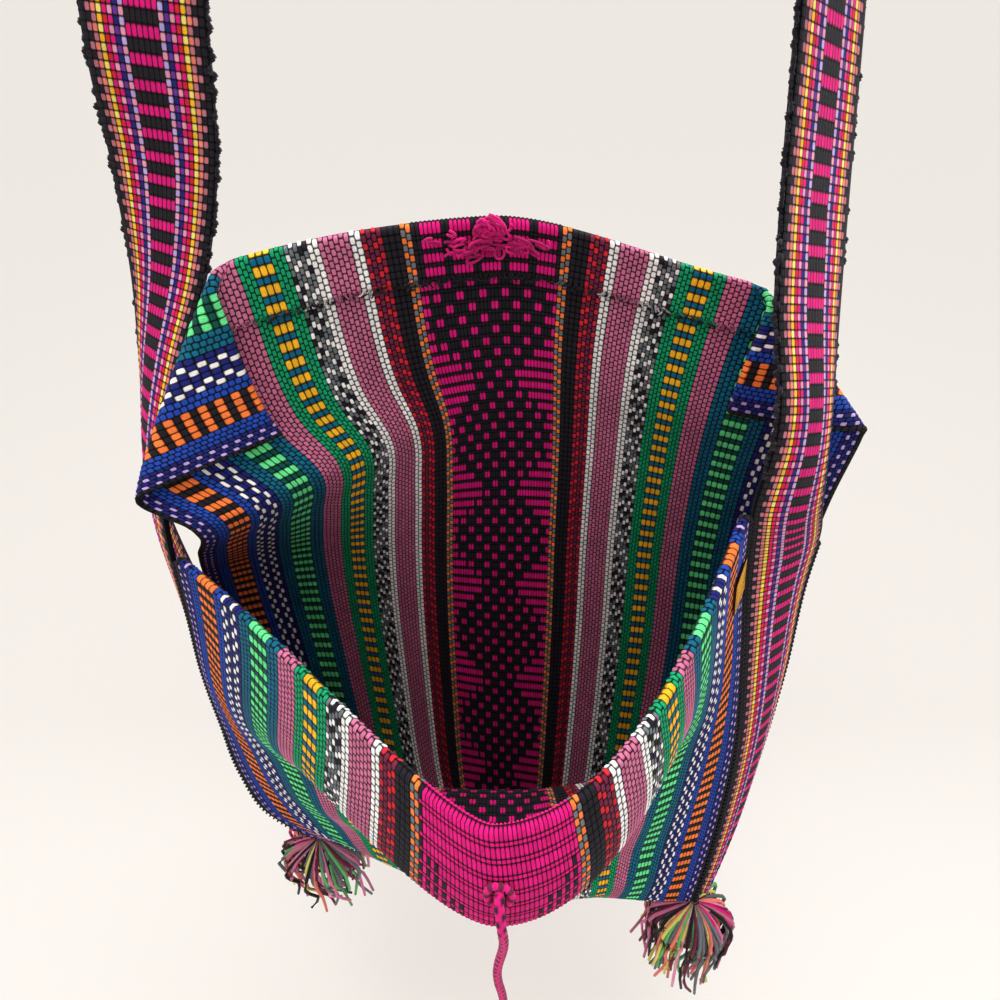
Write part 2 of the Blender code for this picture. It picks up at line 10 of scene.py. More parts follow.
import bpy
import numpy as np
from bpy.props import FloatProperty, FloatVectorProperty, IntProperty, PointerProperty
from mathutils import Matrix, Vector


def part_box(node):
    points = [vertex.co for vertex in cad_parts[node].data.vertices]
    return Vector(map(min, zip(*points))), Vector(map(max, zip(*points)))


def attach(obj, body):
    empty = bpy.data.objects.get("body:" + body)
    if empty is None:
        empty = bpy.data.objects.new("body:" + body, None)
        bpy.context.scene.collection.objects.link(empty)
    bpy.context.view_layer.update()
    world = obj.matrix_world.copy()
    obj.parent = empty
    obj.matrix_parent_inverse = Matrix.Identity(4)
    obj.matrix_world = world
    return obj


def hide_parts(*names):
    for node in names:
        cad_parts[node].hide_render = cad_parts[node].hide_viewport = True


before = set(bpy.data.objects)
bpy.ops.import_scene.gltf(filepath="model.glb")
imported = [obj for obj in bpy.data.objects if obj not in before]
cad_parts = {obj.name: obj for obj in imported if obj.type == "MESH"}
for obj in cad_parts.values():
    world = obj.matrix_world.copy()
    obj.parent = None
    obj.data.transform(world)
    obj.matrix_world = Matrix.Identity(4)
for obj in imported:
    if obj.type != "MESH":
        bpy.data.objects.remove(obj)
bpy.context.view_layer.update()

bl_info = {
    "name": "Woven Shoulder Bag",
    "version": (1, 0, 0),
    "blender": (4, 5, 0),
    "location": "View3D > Sidebar > Woven Bag",
    "description": "Weaves and sews a striped shoulder bag round its packed model",
    "category": "Object",
}

# ---- Shape of the hung cloth and of the band, the same values as in the part's source ----

CLOTH_WIDTH = 0.360
FRONT_HEIGHT = 0.305
BACK_HEIGHT = 0.405
MOUTH_DEPTH = 0.210
BAG_DROP = 0.380
STRAP_DROP = 0.500
BACK_SET = 0.030
CLOTH_THICKNESS = 0.0020
LAYER_GAP = 0.0006
HEM_DEPTH = 0.026
LEFT_EAR = 0.080
RIGHT_EAR = 0.072
HEM_BEND = (CLOTH_THICKNESS + LAYER_GAP) / 2
EAR_BEND = 1.5 * (CLOTH_THICKNESS + LAYER_GAP) + LAYER_GAP / 2
BAND_THICKNESS = 0.0025
BAND_CROWN = 0.004
BACK_SEWN_LEFT = 0.190
BACK_SEWN_RIGHT = 0.265
BAND_END_TRIM = 0.014
BAND_WIDTH = 0.056
HOOK_RADIUS = 0.014
HOOK_SPOT = (0, 14, 0)
HOOK_TURNS = [75, 50, 25, 0]
CROWN_ENDS = 0.45
CROWN_FADE = 0.10
GAP = 0.0003
SEAM_RADIUS = 0.0010
SEAM_SET = SEAM_RADIUS + 3 * GAP
EYELET_DROP = 0.020
LOOP_DROP = 0.012
LABEL_WIDTH = 0.015
LABEL_HEIGHT = 0.026
LABEL_INSET = 0.006
LABEL_DROP = 0.026
BACK = BACK_HEIGHT + FRONT_HEIGHT
HALF = CLOTH_WIDTH / 2

# Each point is (across, out, down) in hundredths: of half the cloth's width, of the mouth's
# depth from the back to the lip, and of the bag's drop below the rim.
FRONT_MIDDLE = [(-1, 94, 32), (0, 99, 37), (0, 100, 43), (0, 83, 52), (0, 62, 61),
                (0, 65, 76), (0, 60, 86), (0, 64, 95), (0, 52, 100)]
BACK_MIDDLE = [(0, 52, 100), (0, 38, 96), (0, 26, 84), (0, 14, 68), (0, 5, 50),
               (0, 0, 32), (-2, 0, 13), (-3, 1, 1)]
FRONT_LEFT = [(-80, 36, 33), (-84, 34, 45), (-88, 33, 58), (-89, 34, 71), (-88, 37, 83),
              (-82, 41, 92), (-66, 43, 99)]
BACK_LEFT = [(-66, 43, 99), (-84, 21, 91), (-92, 12, 76), (-94, 10, 61), (-90, 15, 49),
             (-81, 27, 38), (-75, 34, 30), (-89, 32, 26), (-103, 23, 9)]
FRONT_RIGHT = [(56, 39, 24), (62, 34, 37), (67, 37, 51), (71, 44, 67), (71, 51, 82),
               (69, 57, 93), (68, 60, 101)]
BACK_RIGHT = [(68, 60, 101), (81, 45, 96), (89, 32, 83), (93, 21, 67), (92, 15, 50),
              (91, 15, 35), (92, 16, 22), (103, 2, 8)]

# Which way the cloth leaves each selvedge, from the front rim to the bottom and on to the
# back rim. The direction is kept over AIM_KEPT of the way to the middle, and the KEPT lists
# say how much of that way stays level at the middle.
FRONT_LEFT_AIM = [(0.80, 0.60, 0.0), (0.60, 0.80, 0.10), (0.80, 0.50, 0.00), (1.0, 0.1, 0.0)]
BACK_LEFT_AIM = [(1.0, 0.1, 0.0), (0.85, -0.40, 0.0), (0.85, -0.50, 0.0), (0.75, -0.65, -0.1)]
FRONT_RIGHT_AIM = [(-0.45, 0.87, 0.35), (-0.50, 0.85, 0.15), (-0.90, 0.35, 0.0), (-1.0, 0.1, 0.0)]
BACK_RIGHT_AIM = [(-1.0, 0.1, 0.0), (-0.90, -0.35, 0.0), (-0.90, -0.35, 0.0), (-0.92, 0.0, 0.35)]
AIM_KEPT = 0.36
FRONT_LEFT_KEPT = [0.10, 0.20, 0.32, 0.32]
BACK_LEFT_KEPT = [0.32, 0.32, 0.32, 0.40]
FRONT_RIGHT_KEPT = [0.28, 0.26, 0.32, 0.32]
BACK_RIGHT_KEPT = [0.32, 0.32, 0.30, 0.25]

# The free band above the sewn part, near edge and far edge, from the rim up to the hook.
LEFT_NEAR = [(-82, 27, 27), (-77, 12, 17), (-68, 2, 7), (-61, -1, -3), (-53, 4, -18)]
LEFT_FAR = [(-97, 5, 32), (-97, -5, 22), (-94, -10, 11), (-90, -10, -1), (-82, -3, -17)]
RIGHT_NEAR = [(57, 36, 13), (55, 26, 4), (54, 18, -5), (50, 15, -19)]
RIGHT_FAR = [(81, 24, 28), (78, 21, 19), (78, 8, 8), (77, 0, -1), (70, -3, -18)]

# The closing cord, from the eyelet down: (x, y, z) in metres.
CORD_ROUTE = [(-0.0003, -0.1791, -0.6367), (-0.0002, -0.1827, -0.6386), (0.0001, -0.1856, -0.6414),
              (0.0005, -0.1873, -0.6452), (0.0009, -0.1879, -0.6500), (0.0012, -0.1877, -0.6560),
              (0.0012, -0.1873, -0.6630), (0.0006, -0.1870, -0.6720), (-0.0004, -0.1869, -0.6820),
              (-0.0010, -0.1870, -0.6930), (-0.0006, -0.1872, -0.7050), (0.0006, -0.1871, -0.7180),
              (0.0014, -0.1869, -0.7330), (0.0012, -0.1868, -0.7500), (0.0002, -0.1869, -0.7690),
              (-0.0008, -0.1871, -0.7900), (-0.0010, -0.1871, -0.8120), (-0.0006, -0.1870, -0.8350),
              (-0.0001, -0.1870, -0.8580), (0.0000, -0.1870, -0.8800)]

# Fineness of the tables that the woven surfaces are read from.
TABLE_ROWS = 360
TABLE_COLUMNS = 193
ARC_POINTS = 80
BAND_TABLE_STEP = 0.004
BAND_STEP = 0.015
RISE_STEPS = 6


def unit(vectors):
    """Each vector divided by its own length."""
    return vectors / np.linalg.norm(vectors, axis=-1, keepdims=True)


def spot(point):
    """Turns (across, out, down) in hundredths into a place in metres."""
    across, out, down = np.asarray(point, float).T / 100
    place = (across * HALF, BACK_SET - out * MOUTH_DEPTH, -STRAP_DROP - down * BAG_DROP)
    return np.stack(place, axis=-1)


def through(points, knots, at):
    """A smooth curve through points: cubic pieces whose slopes are those of the points."""
    slopes = np.gradient(points, knots, axis=0)
    index = np.clip(np.searchsorted(knots, at, side="right") - 1, 0, len(knots) - 2)
    span = knots[index + 1] - knots[index]
    s = ((at - knots[index]) / span)[..., None]
    span = span[..., None]
    return ((2 * s**3 - 3 * s**2 + 1) * points[index]
            + (s**3 - 2 * s**2 + s) * span * slopes[index]
            + (3 * s**2 - 2 * s**3) * points[index + 1]
            + (s**3 - s**2) * span * slopes[index + 1])


def lengths(points):
    """How far along its own line each point lies, from zero."""
    steps = np.linalg.norm(np.diff(points, axis=0), axis=1)
    return np.concatenate([[0.0], np.cumsum(steps)])


def down_and_up(front, back, v):
    """A line down the front and up the back of the cloth, at distances v from the front rim."""
    front, back = spot(front), spot(back)
    front_run, back_run = lengths(front), lengths(back)
    knots = np.concatenate([front_run / front_run[-1] * FRONT_HEIGHT,
                            FRONT_HEIGHT + back_run[1:] / back_run[-1] * BACK_HEIGHT])
    return through(np.concatenate([front, back[1:]]), knots, v)


def eased(front, back, v):
    """Values given at even steps down the front and up the back, read smoothly at each v."""
    knots = np.concatenate([np.linspace(0, FRONT_HEIGHT, len(front)),
                            np.linspace(FRONT_HEIGHT, BACK, len(back))[1:]])
    values = np.array(front + back[1:], float).reshape(len(knots), -1)
    return through(values, knots, v)


def hung_cloth():
    """The middle surface of the hung cloth on a fine grid, row by row.

    Each row is two cubic arcs, from a selvedge to the middle and on to the other selvedge,
    with its points spread evenly along its length.
    """
    v = np.linspace(0, BACK, TABLE_ROWS)
    left = down_and_up(FRONT_LEFT, BACK_LEFT, v)
    middle = down_and_up(FRONT_MIDDLE, BACK_MIDDLE, v)
    right = down_and_up(FRONT_RIGHT, BACK_RIGHT, v)
    across = unit(right - left)
    s = np.linspace(0, 1, ARC_POINTS)[None, :, None]
    sides = ((left, FRONT_LEFT_AIM, BACK_LEFT_AIM, FRONT_LEFT_KEPT, BACK_LEFT_KEPT, 1),
             (right, FRONT_RIGHT_AIM, BACK_RIGHT_AIM, FRONT_RIGHT_KEPT, BACK_RIGHT_KEPT, -1))
    halves = []
    for edge, front_aim, back_aim, front_kept, back_kept, side in sides:
        aim = unit(eased(front_aim, back_aim, v) * (1, -1, -1))
        run = np.linalg.norm(middle - edge, axis=1, keepdims=True)
        first = edge + aim * run * AIM_KEPT
        second = middle - side * across * run * eased(front_kept, back_kept, v)
        halves.append(edge[:, None] * (1 - s)**3 + 3 * first[:, None] * s * (1 - s)**2
                      + 3 * second[:, None] * s**2 * (1 - s) + middle[:, None] * s**3)
    share = np.linspace(0, 1, TABLE_COLUMNS // 2 + 1)
    table = []
    for start, end in zip(halves[0], halves[1][:, ::-1]):
        row = []
        for half, at in ((start, share), (end, share[1:])):
            run = lengths(half)
            row.append(np.stack([np.interp(at * run[-1], run, half[:, k]) for k in range(3)], 1))
        table.append(np.concatenate(row))
    return np.array(table)


def read_table(table, row, column):
    """Reads a grid of places between its points, at fractional row and column."""
    i = np.clip(np.floor(row).astype(int), 0, table.shape[0] - 2)
    j = np.clip(np.floor(column).astype(int), 0, table.shape[1] - 2)
    a = (row - i)[..., None]
    b = (column - j)[..., None]
    return ((table[i, j] * (1 - a) + table[i + 1, j] * a) * (1 - b)
            + (table[i, j + 1] * (1 - a) + table[i + 1, j + 1] * a) * b)


def outward(table):
    """The unit normals of a grid of places, on the side where rows cross columns."""
    return unit(np.cross(np.gradient(table, axis=0), np.gradient(table, axis=1)))


CLOTH = hung_cloth()
CLOTH_OUT = outward(CLOTH)


def on_cloth(u, v):
    """Table row and column of the cloth coordinates u across and v along, in metres."""
    return (np.asarray(v, float) / BACK * (TABLE_ROWS - 1),
            (np.asarray(u, float) / HALF + 1) / 2 * (TABLE_COLUMNS - 1))


def cloth_place(u, v, w):
    """Where the cloth coordinates u, v and the height w over the outer side lie in space."""
    row, column = on_cloth(u, v)
    out = unit(read_table(CLOTH_OUT, row, column))
    return read_table(CLOTH, row, column) + out * np.asarray(w, float)[..., None]


def set_back(u, v):
    """Draws u in a little, so that the cloth's edges end clear of the seams."""
    row = np.clip(np.round(v / BACK * (TABLE_ROWS - 1)).astype(int), 0, TABLE_ROWS - 1)
    edge = np.where(u < 0, 0, -1)
    inner = np.where(u < 0, 1, -2)
    step = HALF / (TABLE_COLUMNS // 2)
    across = (CLOTH[row, inner] - CLOTH[row, edge]) / step
    along = unit(np.gradient(CLOTH, axis=0)[row, edge])
    stretch = np.linalg.norm(np.cross(across, along), axis=-1)
    return u * (1 - SEAM_SET / stretch / HALF)


def folded(u, v, w, corner, way, radius):
    """Folds what lies beyond a line over to the inner side, round a bend of the given radius.

    Beyond the line the sheet turns by distance over radius, up to half a turn, and what is
    left after the bend runs straight back.
    """
    way = np.array(way) / np.linalg.norm(way)
    beyond = (u - corner[0]) * way[0] + (v - corner[1]) * way[1]
    turn = np.clip(beyond / radius, 0, math.pi)
    past = np.maximum(beyond - math.pi * radius, 0)
    arm = radius + w
    moved = np.where(beyond > 0, arm * np.sin(turn) - past - beyond, 0)
    height = np.where(beyond > 0, arm * np.cos(turn) - radius, w)
    return u + moved * way[0], v + moved * way[1], height


def sewn_cloth(u, v, w):
    """Cloth coordinates of the flat strip, after hems and top corners are folded in."""
    for corner, way, radius in (((0, 0), (0, -1), HEM_BEND), ((0, BACK), (0, 1), HEM_BEND),
                                ((LEFT_EAR - HALF, BACK), (-1, 1), EAR_BEND),
                                ((HALF - RIGHT_EAR, BACK), (1, 1), EAR_BEND)):
        u, v, w = folded(u, v, w, corner, way, radius)
    return cloth_place(set_back(u, v), v, w)


def selvedge(side, v):
    """The line along which the cloth's edge and the band's edge are sewn together."""
    return read_table(CLOTH, *on_cloth(np.full(np.shape(v), side * HALF), v))


def band_table():
    """The middle surface of the whole band, row by row from its left end over the hook.

    Each row runs straight from the near edge to the far edge, with a low crown of
    4 c (1 - c) over the part that is sewn to the cloth.
    """
    hook_y = float(spot(HOOK_SPOT)[1])
    bend = HOOK_RADIUS + BAND_THICKNESS / 2
    turn = np.radians(HOOK_TURNS)
    rise = np.linspace(0, 1, RISE_STEPS + 1)[1:-1, None]
    c = np.linspace(0, 1, 9)[None, :, None]
    halves = []
    sides = ((-1, LEFT_NEAR, LEFT_FAR, BACK_SEWN_LEFT), (1, RIGHT_NEAR, RIGHT_FAR, BACK_SEWN_RIGHT))
    for side, near_free, far_free, back_sewn in sides:
        front_v = np.linspace(FRONT_HEIGHT - BAND_END_TRIM, 0, round(FRONT_HEIGHT / BAND_STEP))
        back_v = np.linspace(FRONT_HEIGHT + BAND_END_TRIM, FRONT_HEIGHT + back_sewn,
                             round(back_sewn / BAND_STEP))
        lines = []
        for sewn_v, free, shift in ((front_v, near_free, -1), (back_v, far_free, 1)):
            low = np.concatenate([selvedge(side, sewn_v), spot(free)])
            over = np.full(len(turn), hook_y + shift * BAND_WIDTH / 2)
            arch = np.stack([side * bend * np.sin(turn), over,
                             bend * np.cos(turn) - HOOK_RADIUS], 1)
            edge = np.concatenate([low, low[-1] + (arch[0] - low[-1]) * rise, arch])
            run = lengths(edge)
            at = np.linspace(0, run[-1], round(run[-1] / BAND_TABLE_STEP) if not lines
                             else len(lines[0]))
            lines.append(through(edge, run, at))
        near, far = lines
        width = far - near
        share = np.linspace(0, 1, len(near))
        for line, sign in ((near, 1), (far, -1)):
            along = unit(np.gradient(line, axis=0))
            sine = np.linalg.norm(np.cross(unit(width), along), axis=1, keepdims=True)
            line += sign * unit(width) * SEAM_SET / sine
        out = unit(np.cross(width, np.gradient(near + far, axis=0)) * side)
        sewn = np.clip((CROWN_ENDS - share) / CROWN_FADE, 0, 1)[:, None, None]
        strip = near[:, None] * (1 - c) + far[:, None] * c
        halves.append(strip + out[:, None] * BAND_CROWN * sewn * 4 * c * (1 - c))
    return np.concatenate([halves[0], halves[1][-2::-1]])


BAND = band_table()
BAND_OUT = -outward(BAND)
BAND_RUN = lengths(BAND.mean(axis=1))
BAND_LENGTH = float(BAND_RUN[-1])


def band_place(c, s, w):
    """Where share c across the band, distance s along it and height w over it lie in space."""
    row = np.interp(s, BAND_RUN, np.arange(len(BAND_RUN)))
    column = np.asarray(c, float) * (BAND.shape[1] - 1)
    out = unit(read_table(BAND_OUT, row, column))
    return read_table(BAND, row, column) + out * np.asarray(w, float)[..., None]


# ---- Colours of the dyed yarns, sRGB ----

YARNS = {
    "magenta": "e0187c", "black": "221f26", "navy": "20256e", "blue": "2347a8",
    "teal": "0f6480", "mint": "66ea92", "emerald": "129c68", "emerald_dark": "0b4f46",
    "yellow": "f6b828",
    "orange": "fa7d3c", "white": "f6f3f1", "grey": "6b7074", "rose": "c76d90",
    "light_pink": "e79ab2", "maroon": "6e2440", "red": "d02633", "lilac": "bda2de",
    "purple": "6a3399", "pale_yellow": "efe072", "dusty_pink": "b8707f", "coral": "ef7f6e",
    "green": "5fae62", "ochre": "e9a51c",
}
YARN = {name: number for number, name in enumerate(YARNS)}


def linear(hex_colour):
    """An sRGB hex value as linear red, green and blue."""
    srgb = np.array([int(hex_colour[i:i + 2], 16) for i in (0, 2, 4)]) / 255
    return tuple(float(x) for x in
                 np.where(srgb <= 0.04045, srgb / 12.92, ((srgb + 0.055) / 1.055)**2.4))


def settings():
    """The sizes and colours that the panel shows."""
    return bpy.context.scene.woven_bag


def palette():
    """The yarn colours as rows of linear red, green and blue."""
    return np.array([getattr(settings().yarns, name) for name in YARNS], float)


# ---- Weave design, counted from the middle of the cloth to its selvedge ----

# How the grains of a column follow one another: whether every second column is set off by half
# a grain, and the lengths of its grains in half rows, in turn.
LAYINGS = {"brick": (True, (2,)), "rows": (False, (2,)), "bars": (False, (3, 2)),
           "dots": (False, (3, 1)), "chains": (False, (3,)), "rungs": (False, (3, 3))}

# Each stripe: how it is woven, its two yarns, its warp columns, its width in millimetres, and
# how its grains are laid.
BROCADE = ("brocade", "magenta", "black", 18, 29.0, "dots")
STRIPES = [BROCADE,
           ("pairs", "orange", "grey", 2, 4.0, "brick"),
           ("plain", "black", "black", 3, 7.0, "rows"),
           ("twin", "red", "maroon", 4, 8.0, "brick"),
           ("plain", "white", "white", 2, 4.4, "brick"),
           ("plain", "rose", "rose", 6, 12.0, "brick"),
           ("plain", "white", "white", 2, 4.4, "brick"),
           ("pepper", "grey", "white", 5, 9.0, "brick"),
           ("plain", "emerald", "emerald", 3, 5.5, "brick"),
           ("blocks", "yellow", "teal", 3, 8.5, "bars"),
           ("plain", "emerald", "emerald", 3, 5.5, "brick"),
           ("plain", "rose", "rose", 5, 11.0, "brick"),
           ("plain", "teal", "teal", 3, 7.5, "brick"),
           ("blocks", "mint", "emerald_dark", 4, 12.0, "bars"),
           ("plain", "teal", "teal", 3, 7.0, "brick"),
           ("zigzag", "white", "navy", 6, 13.0, "chains"),
           ("plain", "blue", "blue", 2, 5.0, "brick"),
           ("blocks", "orange", "black", 4, 12.0, "bars"),
           ("plain", "blue", "blue", 3, 6.0, "brick"),
           ("sparse", "lilac", "navy", 4, 7.0, "brick"),
           ("plain", "black", "black", 1, 2.2, "brick")]


def half_stripes(stripes):
    """For each column from the middle outwards: stripe number, column in it, offset, width."""
    counts = np.array([stripe[3] for stripe in stripes])
    number = np.repeat(np.arange(len(stripes)), counts)
    within = np.arange(counts.sum()) - np.repeat(np.cumsum(counts) - counts, counts)
    widths = np.array([stripe[4] / stripe[3] for stripe in stripes])[number]
    laid = np.array([LAYINGS[stripe[5]][0] for stripe in stripes])[number]
    return number, within, laid & (within % 2 == 1), widths


def column_lines(stripes, half_width):
    """Places of all column lines from one edge to the other."""
    widths = half_stripes(stripes)[3]
    out = np.concatenate([[0.0], np.cumsum(widths)])
    out *= half_width / out[-1]
    return np.concatenate([-out[:0:-1], out])


def laying(stripes):
    """For each column from edge to edge: its offset in half rows, and its grains' lengths."""
    number, _, shifted, _ = half_stripes(stripes)
    half = [(int(off), LAYINGS[stripes[index][5]][1]) for index, off in zip(number, shifted)]
    return half[::-1] + half


def weave_stripe(kind, first, second, column, row):
    """Yarn numbers of one stripe: column counts across it from zero, row along the cloth."""
    one = np.full(column.shape, YARN[first])
    two = np.full(column.shape, YARN[second])
    if kind in ("pairs", "blocks", "ladder"):
        return np.where(row % 2 == 0, one, two)
    if kind == "twin":
        spotted = (column % 2 == 1) & (row % 2 == 0) | (column == 0) & (row % 2 == 1)
        return np.where(spotted, one, two)
    if kind == "pepper":
        pale = (3 * column + 5 * row) % 7 < 2
        return np.where(pale, two, np.where((column + 2 * row) % 3 == 0, YARN["black"], one))
    if kind == "sparse":
        return np.where((column % 2 == 1) & ((row + column // 2) % 2 == 0), one, two)
    if kind == "zigzag":
        return np.where((column == 1 + row % 2) | (column == 4 + row % 2), one, two)
    return one


def brocade(column, row, face):
    """Yarn numbers of the middle panel, counted in columns from its one side.

    Every second row carries the figure on a black ground: dots in pairs every six columns,
    shifted by half their spacing from row to row, and runs of dots at both sides that widen
    and narrow again over eleven rows. The outer face shows the reverse of the inner, but for
    the back hem, where groups of dots leave two black columns between them.
    """
    figured = row // 2
    from_side = np.minimum(column, 2 * BROCADE[3] - 1 - column)
    run = np.maximum(3 * np.abs(figured % 11 - 5) - 4, 1)
    side = from_side < run
    dots = (column + 3 * (figured % 2)) % 6 < 2
    magenta = (row % 2 == 0) & (side | dots)
    if face == "outer":
        magenta = ~((row % 2 == 0) & side & (column % 2 == 0))
        magenta = np.where(row < BACK_HEM_ROW, magenta, (row % 2 == 0) & (column % 7 > 1))
    return np.where(magenta, YARN["magenta"], YARN["black"])


BACK_HEM_ROW = 236


def striped_yarns(stripes, column, row, face):
    """Yarn number of each grain; columns count from one edge of the cloth to the other."""
    number, within = half_stripes(stripes)[:2]
    half = len(number)
    out = np.where(column < half, half - 1 - column, column - half)
    yarns = np.zeros(column.shape, int)
    for index, (kind, first, second, *_) in enumerate(stripes):
        here = number[out] == index
        if kind == "brocade":
            woven = brocade(column - half + BROCADE[3], row, face)
        else:
            woven = weave_stripe(kind, first, second, within[out], row)
        yarns = np.where(here, woven, yarns)
    return yarns


def cloth_yarns(column, row, face):
    """Yarn number of each grain of the striped cloth."""
    return striped_yarns(STRIPES, column, row, face)


BAND_STRIPES = [("ladder", "magenta", "black", 3, 7.6, "rungs"),
                ("pairs", "light_pink", "lilac", 1, 2.6, "rows"),
                ("pairs", "purple", "navy", 1, 2.5, "rows"),
                ("pairs", "light_pink", "magenta", 1, 2.5, "rows"),
                ("pairs", "magenta", "red", 1, 2.4, "brick"),
                ("pairs", "pale_yellow", "yellow", 1, 2.6, "rows"),
                ("pairs", "coral", "dusty_pink", 1, 2.5, "rows"),
                ("pairs", "dusty_pink", "black", 1, 2.5, "rows"),
                ("plain", "black", "black", 1, 3.0, "brick")]


def band_yarns(column, row, face):
    """Yarn number of each grain of the band."""
    return striped_yarns(BAND_STRIPES, column, row, face)


# ---- Meshes ----

def make_piece(name, places, faces, material, replaced=()):
    """Puts a mesh into the scene as a smooth shaded piece that rides with the bag."""
    mesh = bpy.data.meshes.new(name)
    mesh.from_pydata(np.asarray(places).reshape(-1, 3).tolist(), [], np.asarray(faces).tolist()
                     if isinstance(faces, np.ndarray) else faces)
    mesh.materials.append(material)
    mesh.shade_smooth()
    mesh.validate()
    piece = bpy.data.objects.new(name, mesh)
    bpy.context.collection.objects.link(piece)
    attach(piece, "root")
    if replaced:
        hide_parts(*replaced)
    return piece


def paint(piece, colours, uv=None, spots=None):
    """Stores a colour for each face corner as the attribute yarn, and a UV map in metres.

    spots are places in a woven grain, from (-1, -1) to (1, 1), kept as the attribute grain, from
    which the yarn materials paint shade in the gaps between grains.
    """
    mesh = piece.data
    stored = mesh.color_attributes.new("yarn", "FLOAT_COLOR", "CORNER")
    rgba = np.ones((len(mesh.loops), 4), np.float32)
    rgba[:, :3] = colours
    stored.data.foreach_set("color", rgba.ravel())
    if uv is not None:
        layer = mesh.uv_layers.new(name="weave")
        layer.data.foreach_set("uv", np.asarray(uv, np.float32).ravel())
    if spots is not None:
        grain = mesh.attributes.new("grain", "FLOAT_VECTOR", "CORNER")
        flat = np.zeros((len(mesh.loops), 3), np.float32)
        flat[:, :2] = spots
        grain.data.foreach_set("vector", flat.ravel())


def corner_vertices(mesh):
    """The vertex number of every face corner."""
    numbers = np.empty(len(mesh.loops), np.int32)
    mesh.loops.foreach_get("vertex_index", numbers)
    return numbers


GRAIN_VARIATION = 0.24


def grain_faces(first, last, rows, laid):
    """Grains of a weave as fans of triangles round a raised middle point.

    A grain is one column wide and as many half rows long as its column's laying says.
    Returns the triangles as (half row, column line) corners or middle numbers, each one's
    grain, where its three corners lie in that grain from (-1, -1) to (1, 1), the half row of
    each grain's middle, and each grain's column and row.
    """
    offset = np.array([laid[j][0] for j in range(first, last)])
    grain_lengths = np.stack([np.resize(laid[j][1], 2 * rows + 2) for j in range(first, last)])
    edge = np.concatenate([np.zeros((last - first, 1), int), np.cumsum(grain_lengths, axis=1)], 1)
    edge = np.clip(edge - offset[:, None], 0, 2 * rows)
    left, k = np.nonzero(edge[:, 1:] > edge[:, :-1])
    low, high = edge[left, k], edge[left, k + 1]
    across = last - first + 1
    step = np.arange(grain_lengths.max() + 1)
    up = np.minimum(low[:, None] + step, high[:, None])
    back = np.maximum(high[:, None] - step, low[:, None])
    half_row = np.concatenate([up, back], 1)
    ring = half_row * across + left[:, None] + np.repeat([0, 1], len(step))
    x = np.broadcast_to(np.repeat([-1.0, 1.0], len(step)), ring.shape)
    y = (2 * half_row - (low + high)[:, None]) / (high - low)[:, None]
    spots = np.stack([x, y], -1)
    following = np.roll(ring, -1, axis=1)
    centre = (2 * rows + 1) * across + np.arange(len(left))
    fans = np.stack([np.broadcast_to(centre[:, None], ring.shape), ring, following], -1)
    spots = np.stack([np.zeros(spots.shape), spots, np.roll(spots, -1, axis=1)], -2)
    grain = np.broadcast_to(np.arange(len(left))[:, None], ring.shape)
    real = ring != following
    return fans[real], grain[real], spots[real], (low + high) / 2, left + first, k


def woven_sheet(name, place, columns, laid, first, last, rows, start, step, walls, design,
                material, replaced, seed):
    """A closed woven sheet whose grains stand out of both faces.

    place(u, v, w) gives the shape. Column lines lie at u = columns[j], half rows at
    v = start + half * step / 2. Valleys between grains lie at w = walls[0], and the middle of
    each grain at walls[1], on either face. design gives the yarn of a column and row.
    """
    fans, grain_of, spots, middle, j, k = grain_faces(first, last, rows, laid)
    half_rows = start + np.arange(2 * rows + 1) * step / 2
    line_u, half_v = np.meshgrid(columns[first:last + 1], half_rows)
    u = np.concatenate([line_u.ravel(), (columns[j] + columns[j + 1]) / 2])
    v = np.concatenate([half_v.ravel(), start + middle * step / 2])
    w = np.concatenate([np.full(line_u.size, walls[0]), np.full(len(j), walls[1])])
    count = len(u)
    across = last - first + 1
    number = np.arange(line_u.size).reshape(-1, across)
    rim = np.concatenate([number[0], number[1:, -1], number[-1, -2::-1], number[-2:0:-1, 0]])
    after = np.roll(rim, -1)
    sides = np.concatenate([np.stack([rim, after, rim + count], 1),
                            np.stack([after, after + count, rim + count], 1)])
    faces = np.concatenate([fans, fans[:, ::-1] + count, sides])
    places = np.concatenate([place(u, v, w), place(u, v, -w)])
    piece = make_piece(name, places, faces, material, replaced)
    chance = np.random.default_rng(seed)
    yarns = palette()
    outer = yarns[design(j, k, "outer")]
    inner = yarns[design(j, k, "inner")]
    shade = 1 + GRAIN_VARIATION * (chance.random((len(j), 1)) - 0.5)
    outer, inner = outer * shade, inner * shade
    outer_corners = np.repeat(outer[grain_of], 3, axis=0)
    inner_corners = np.repeat(inner[grain_of], 3, axis=0)
    # The sheet's side faces are black, and their grain spots of (1, 1) give them the material's full
    # painted gap shade.
    side_colour = np.zeros((len(sides) * 3, 3)) + yarns[YARN["black"]]
    numbers = corner_vertices(piece.data) % count
    paint(piece, np.concatenate([outer_corners, inner_corners, side_colour]),
          np.stack([u[numbers], v[numbers]], 1),
          np.concatenate([spots.reshape(-1, 2), spots[:, ::-1].reshape(-1, 2),
                          np.ones((len(side_colour), 2))]))
    return piece


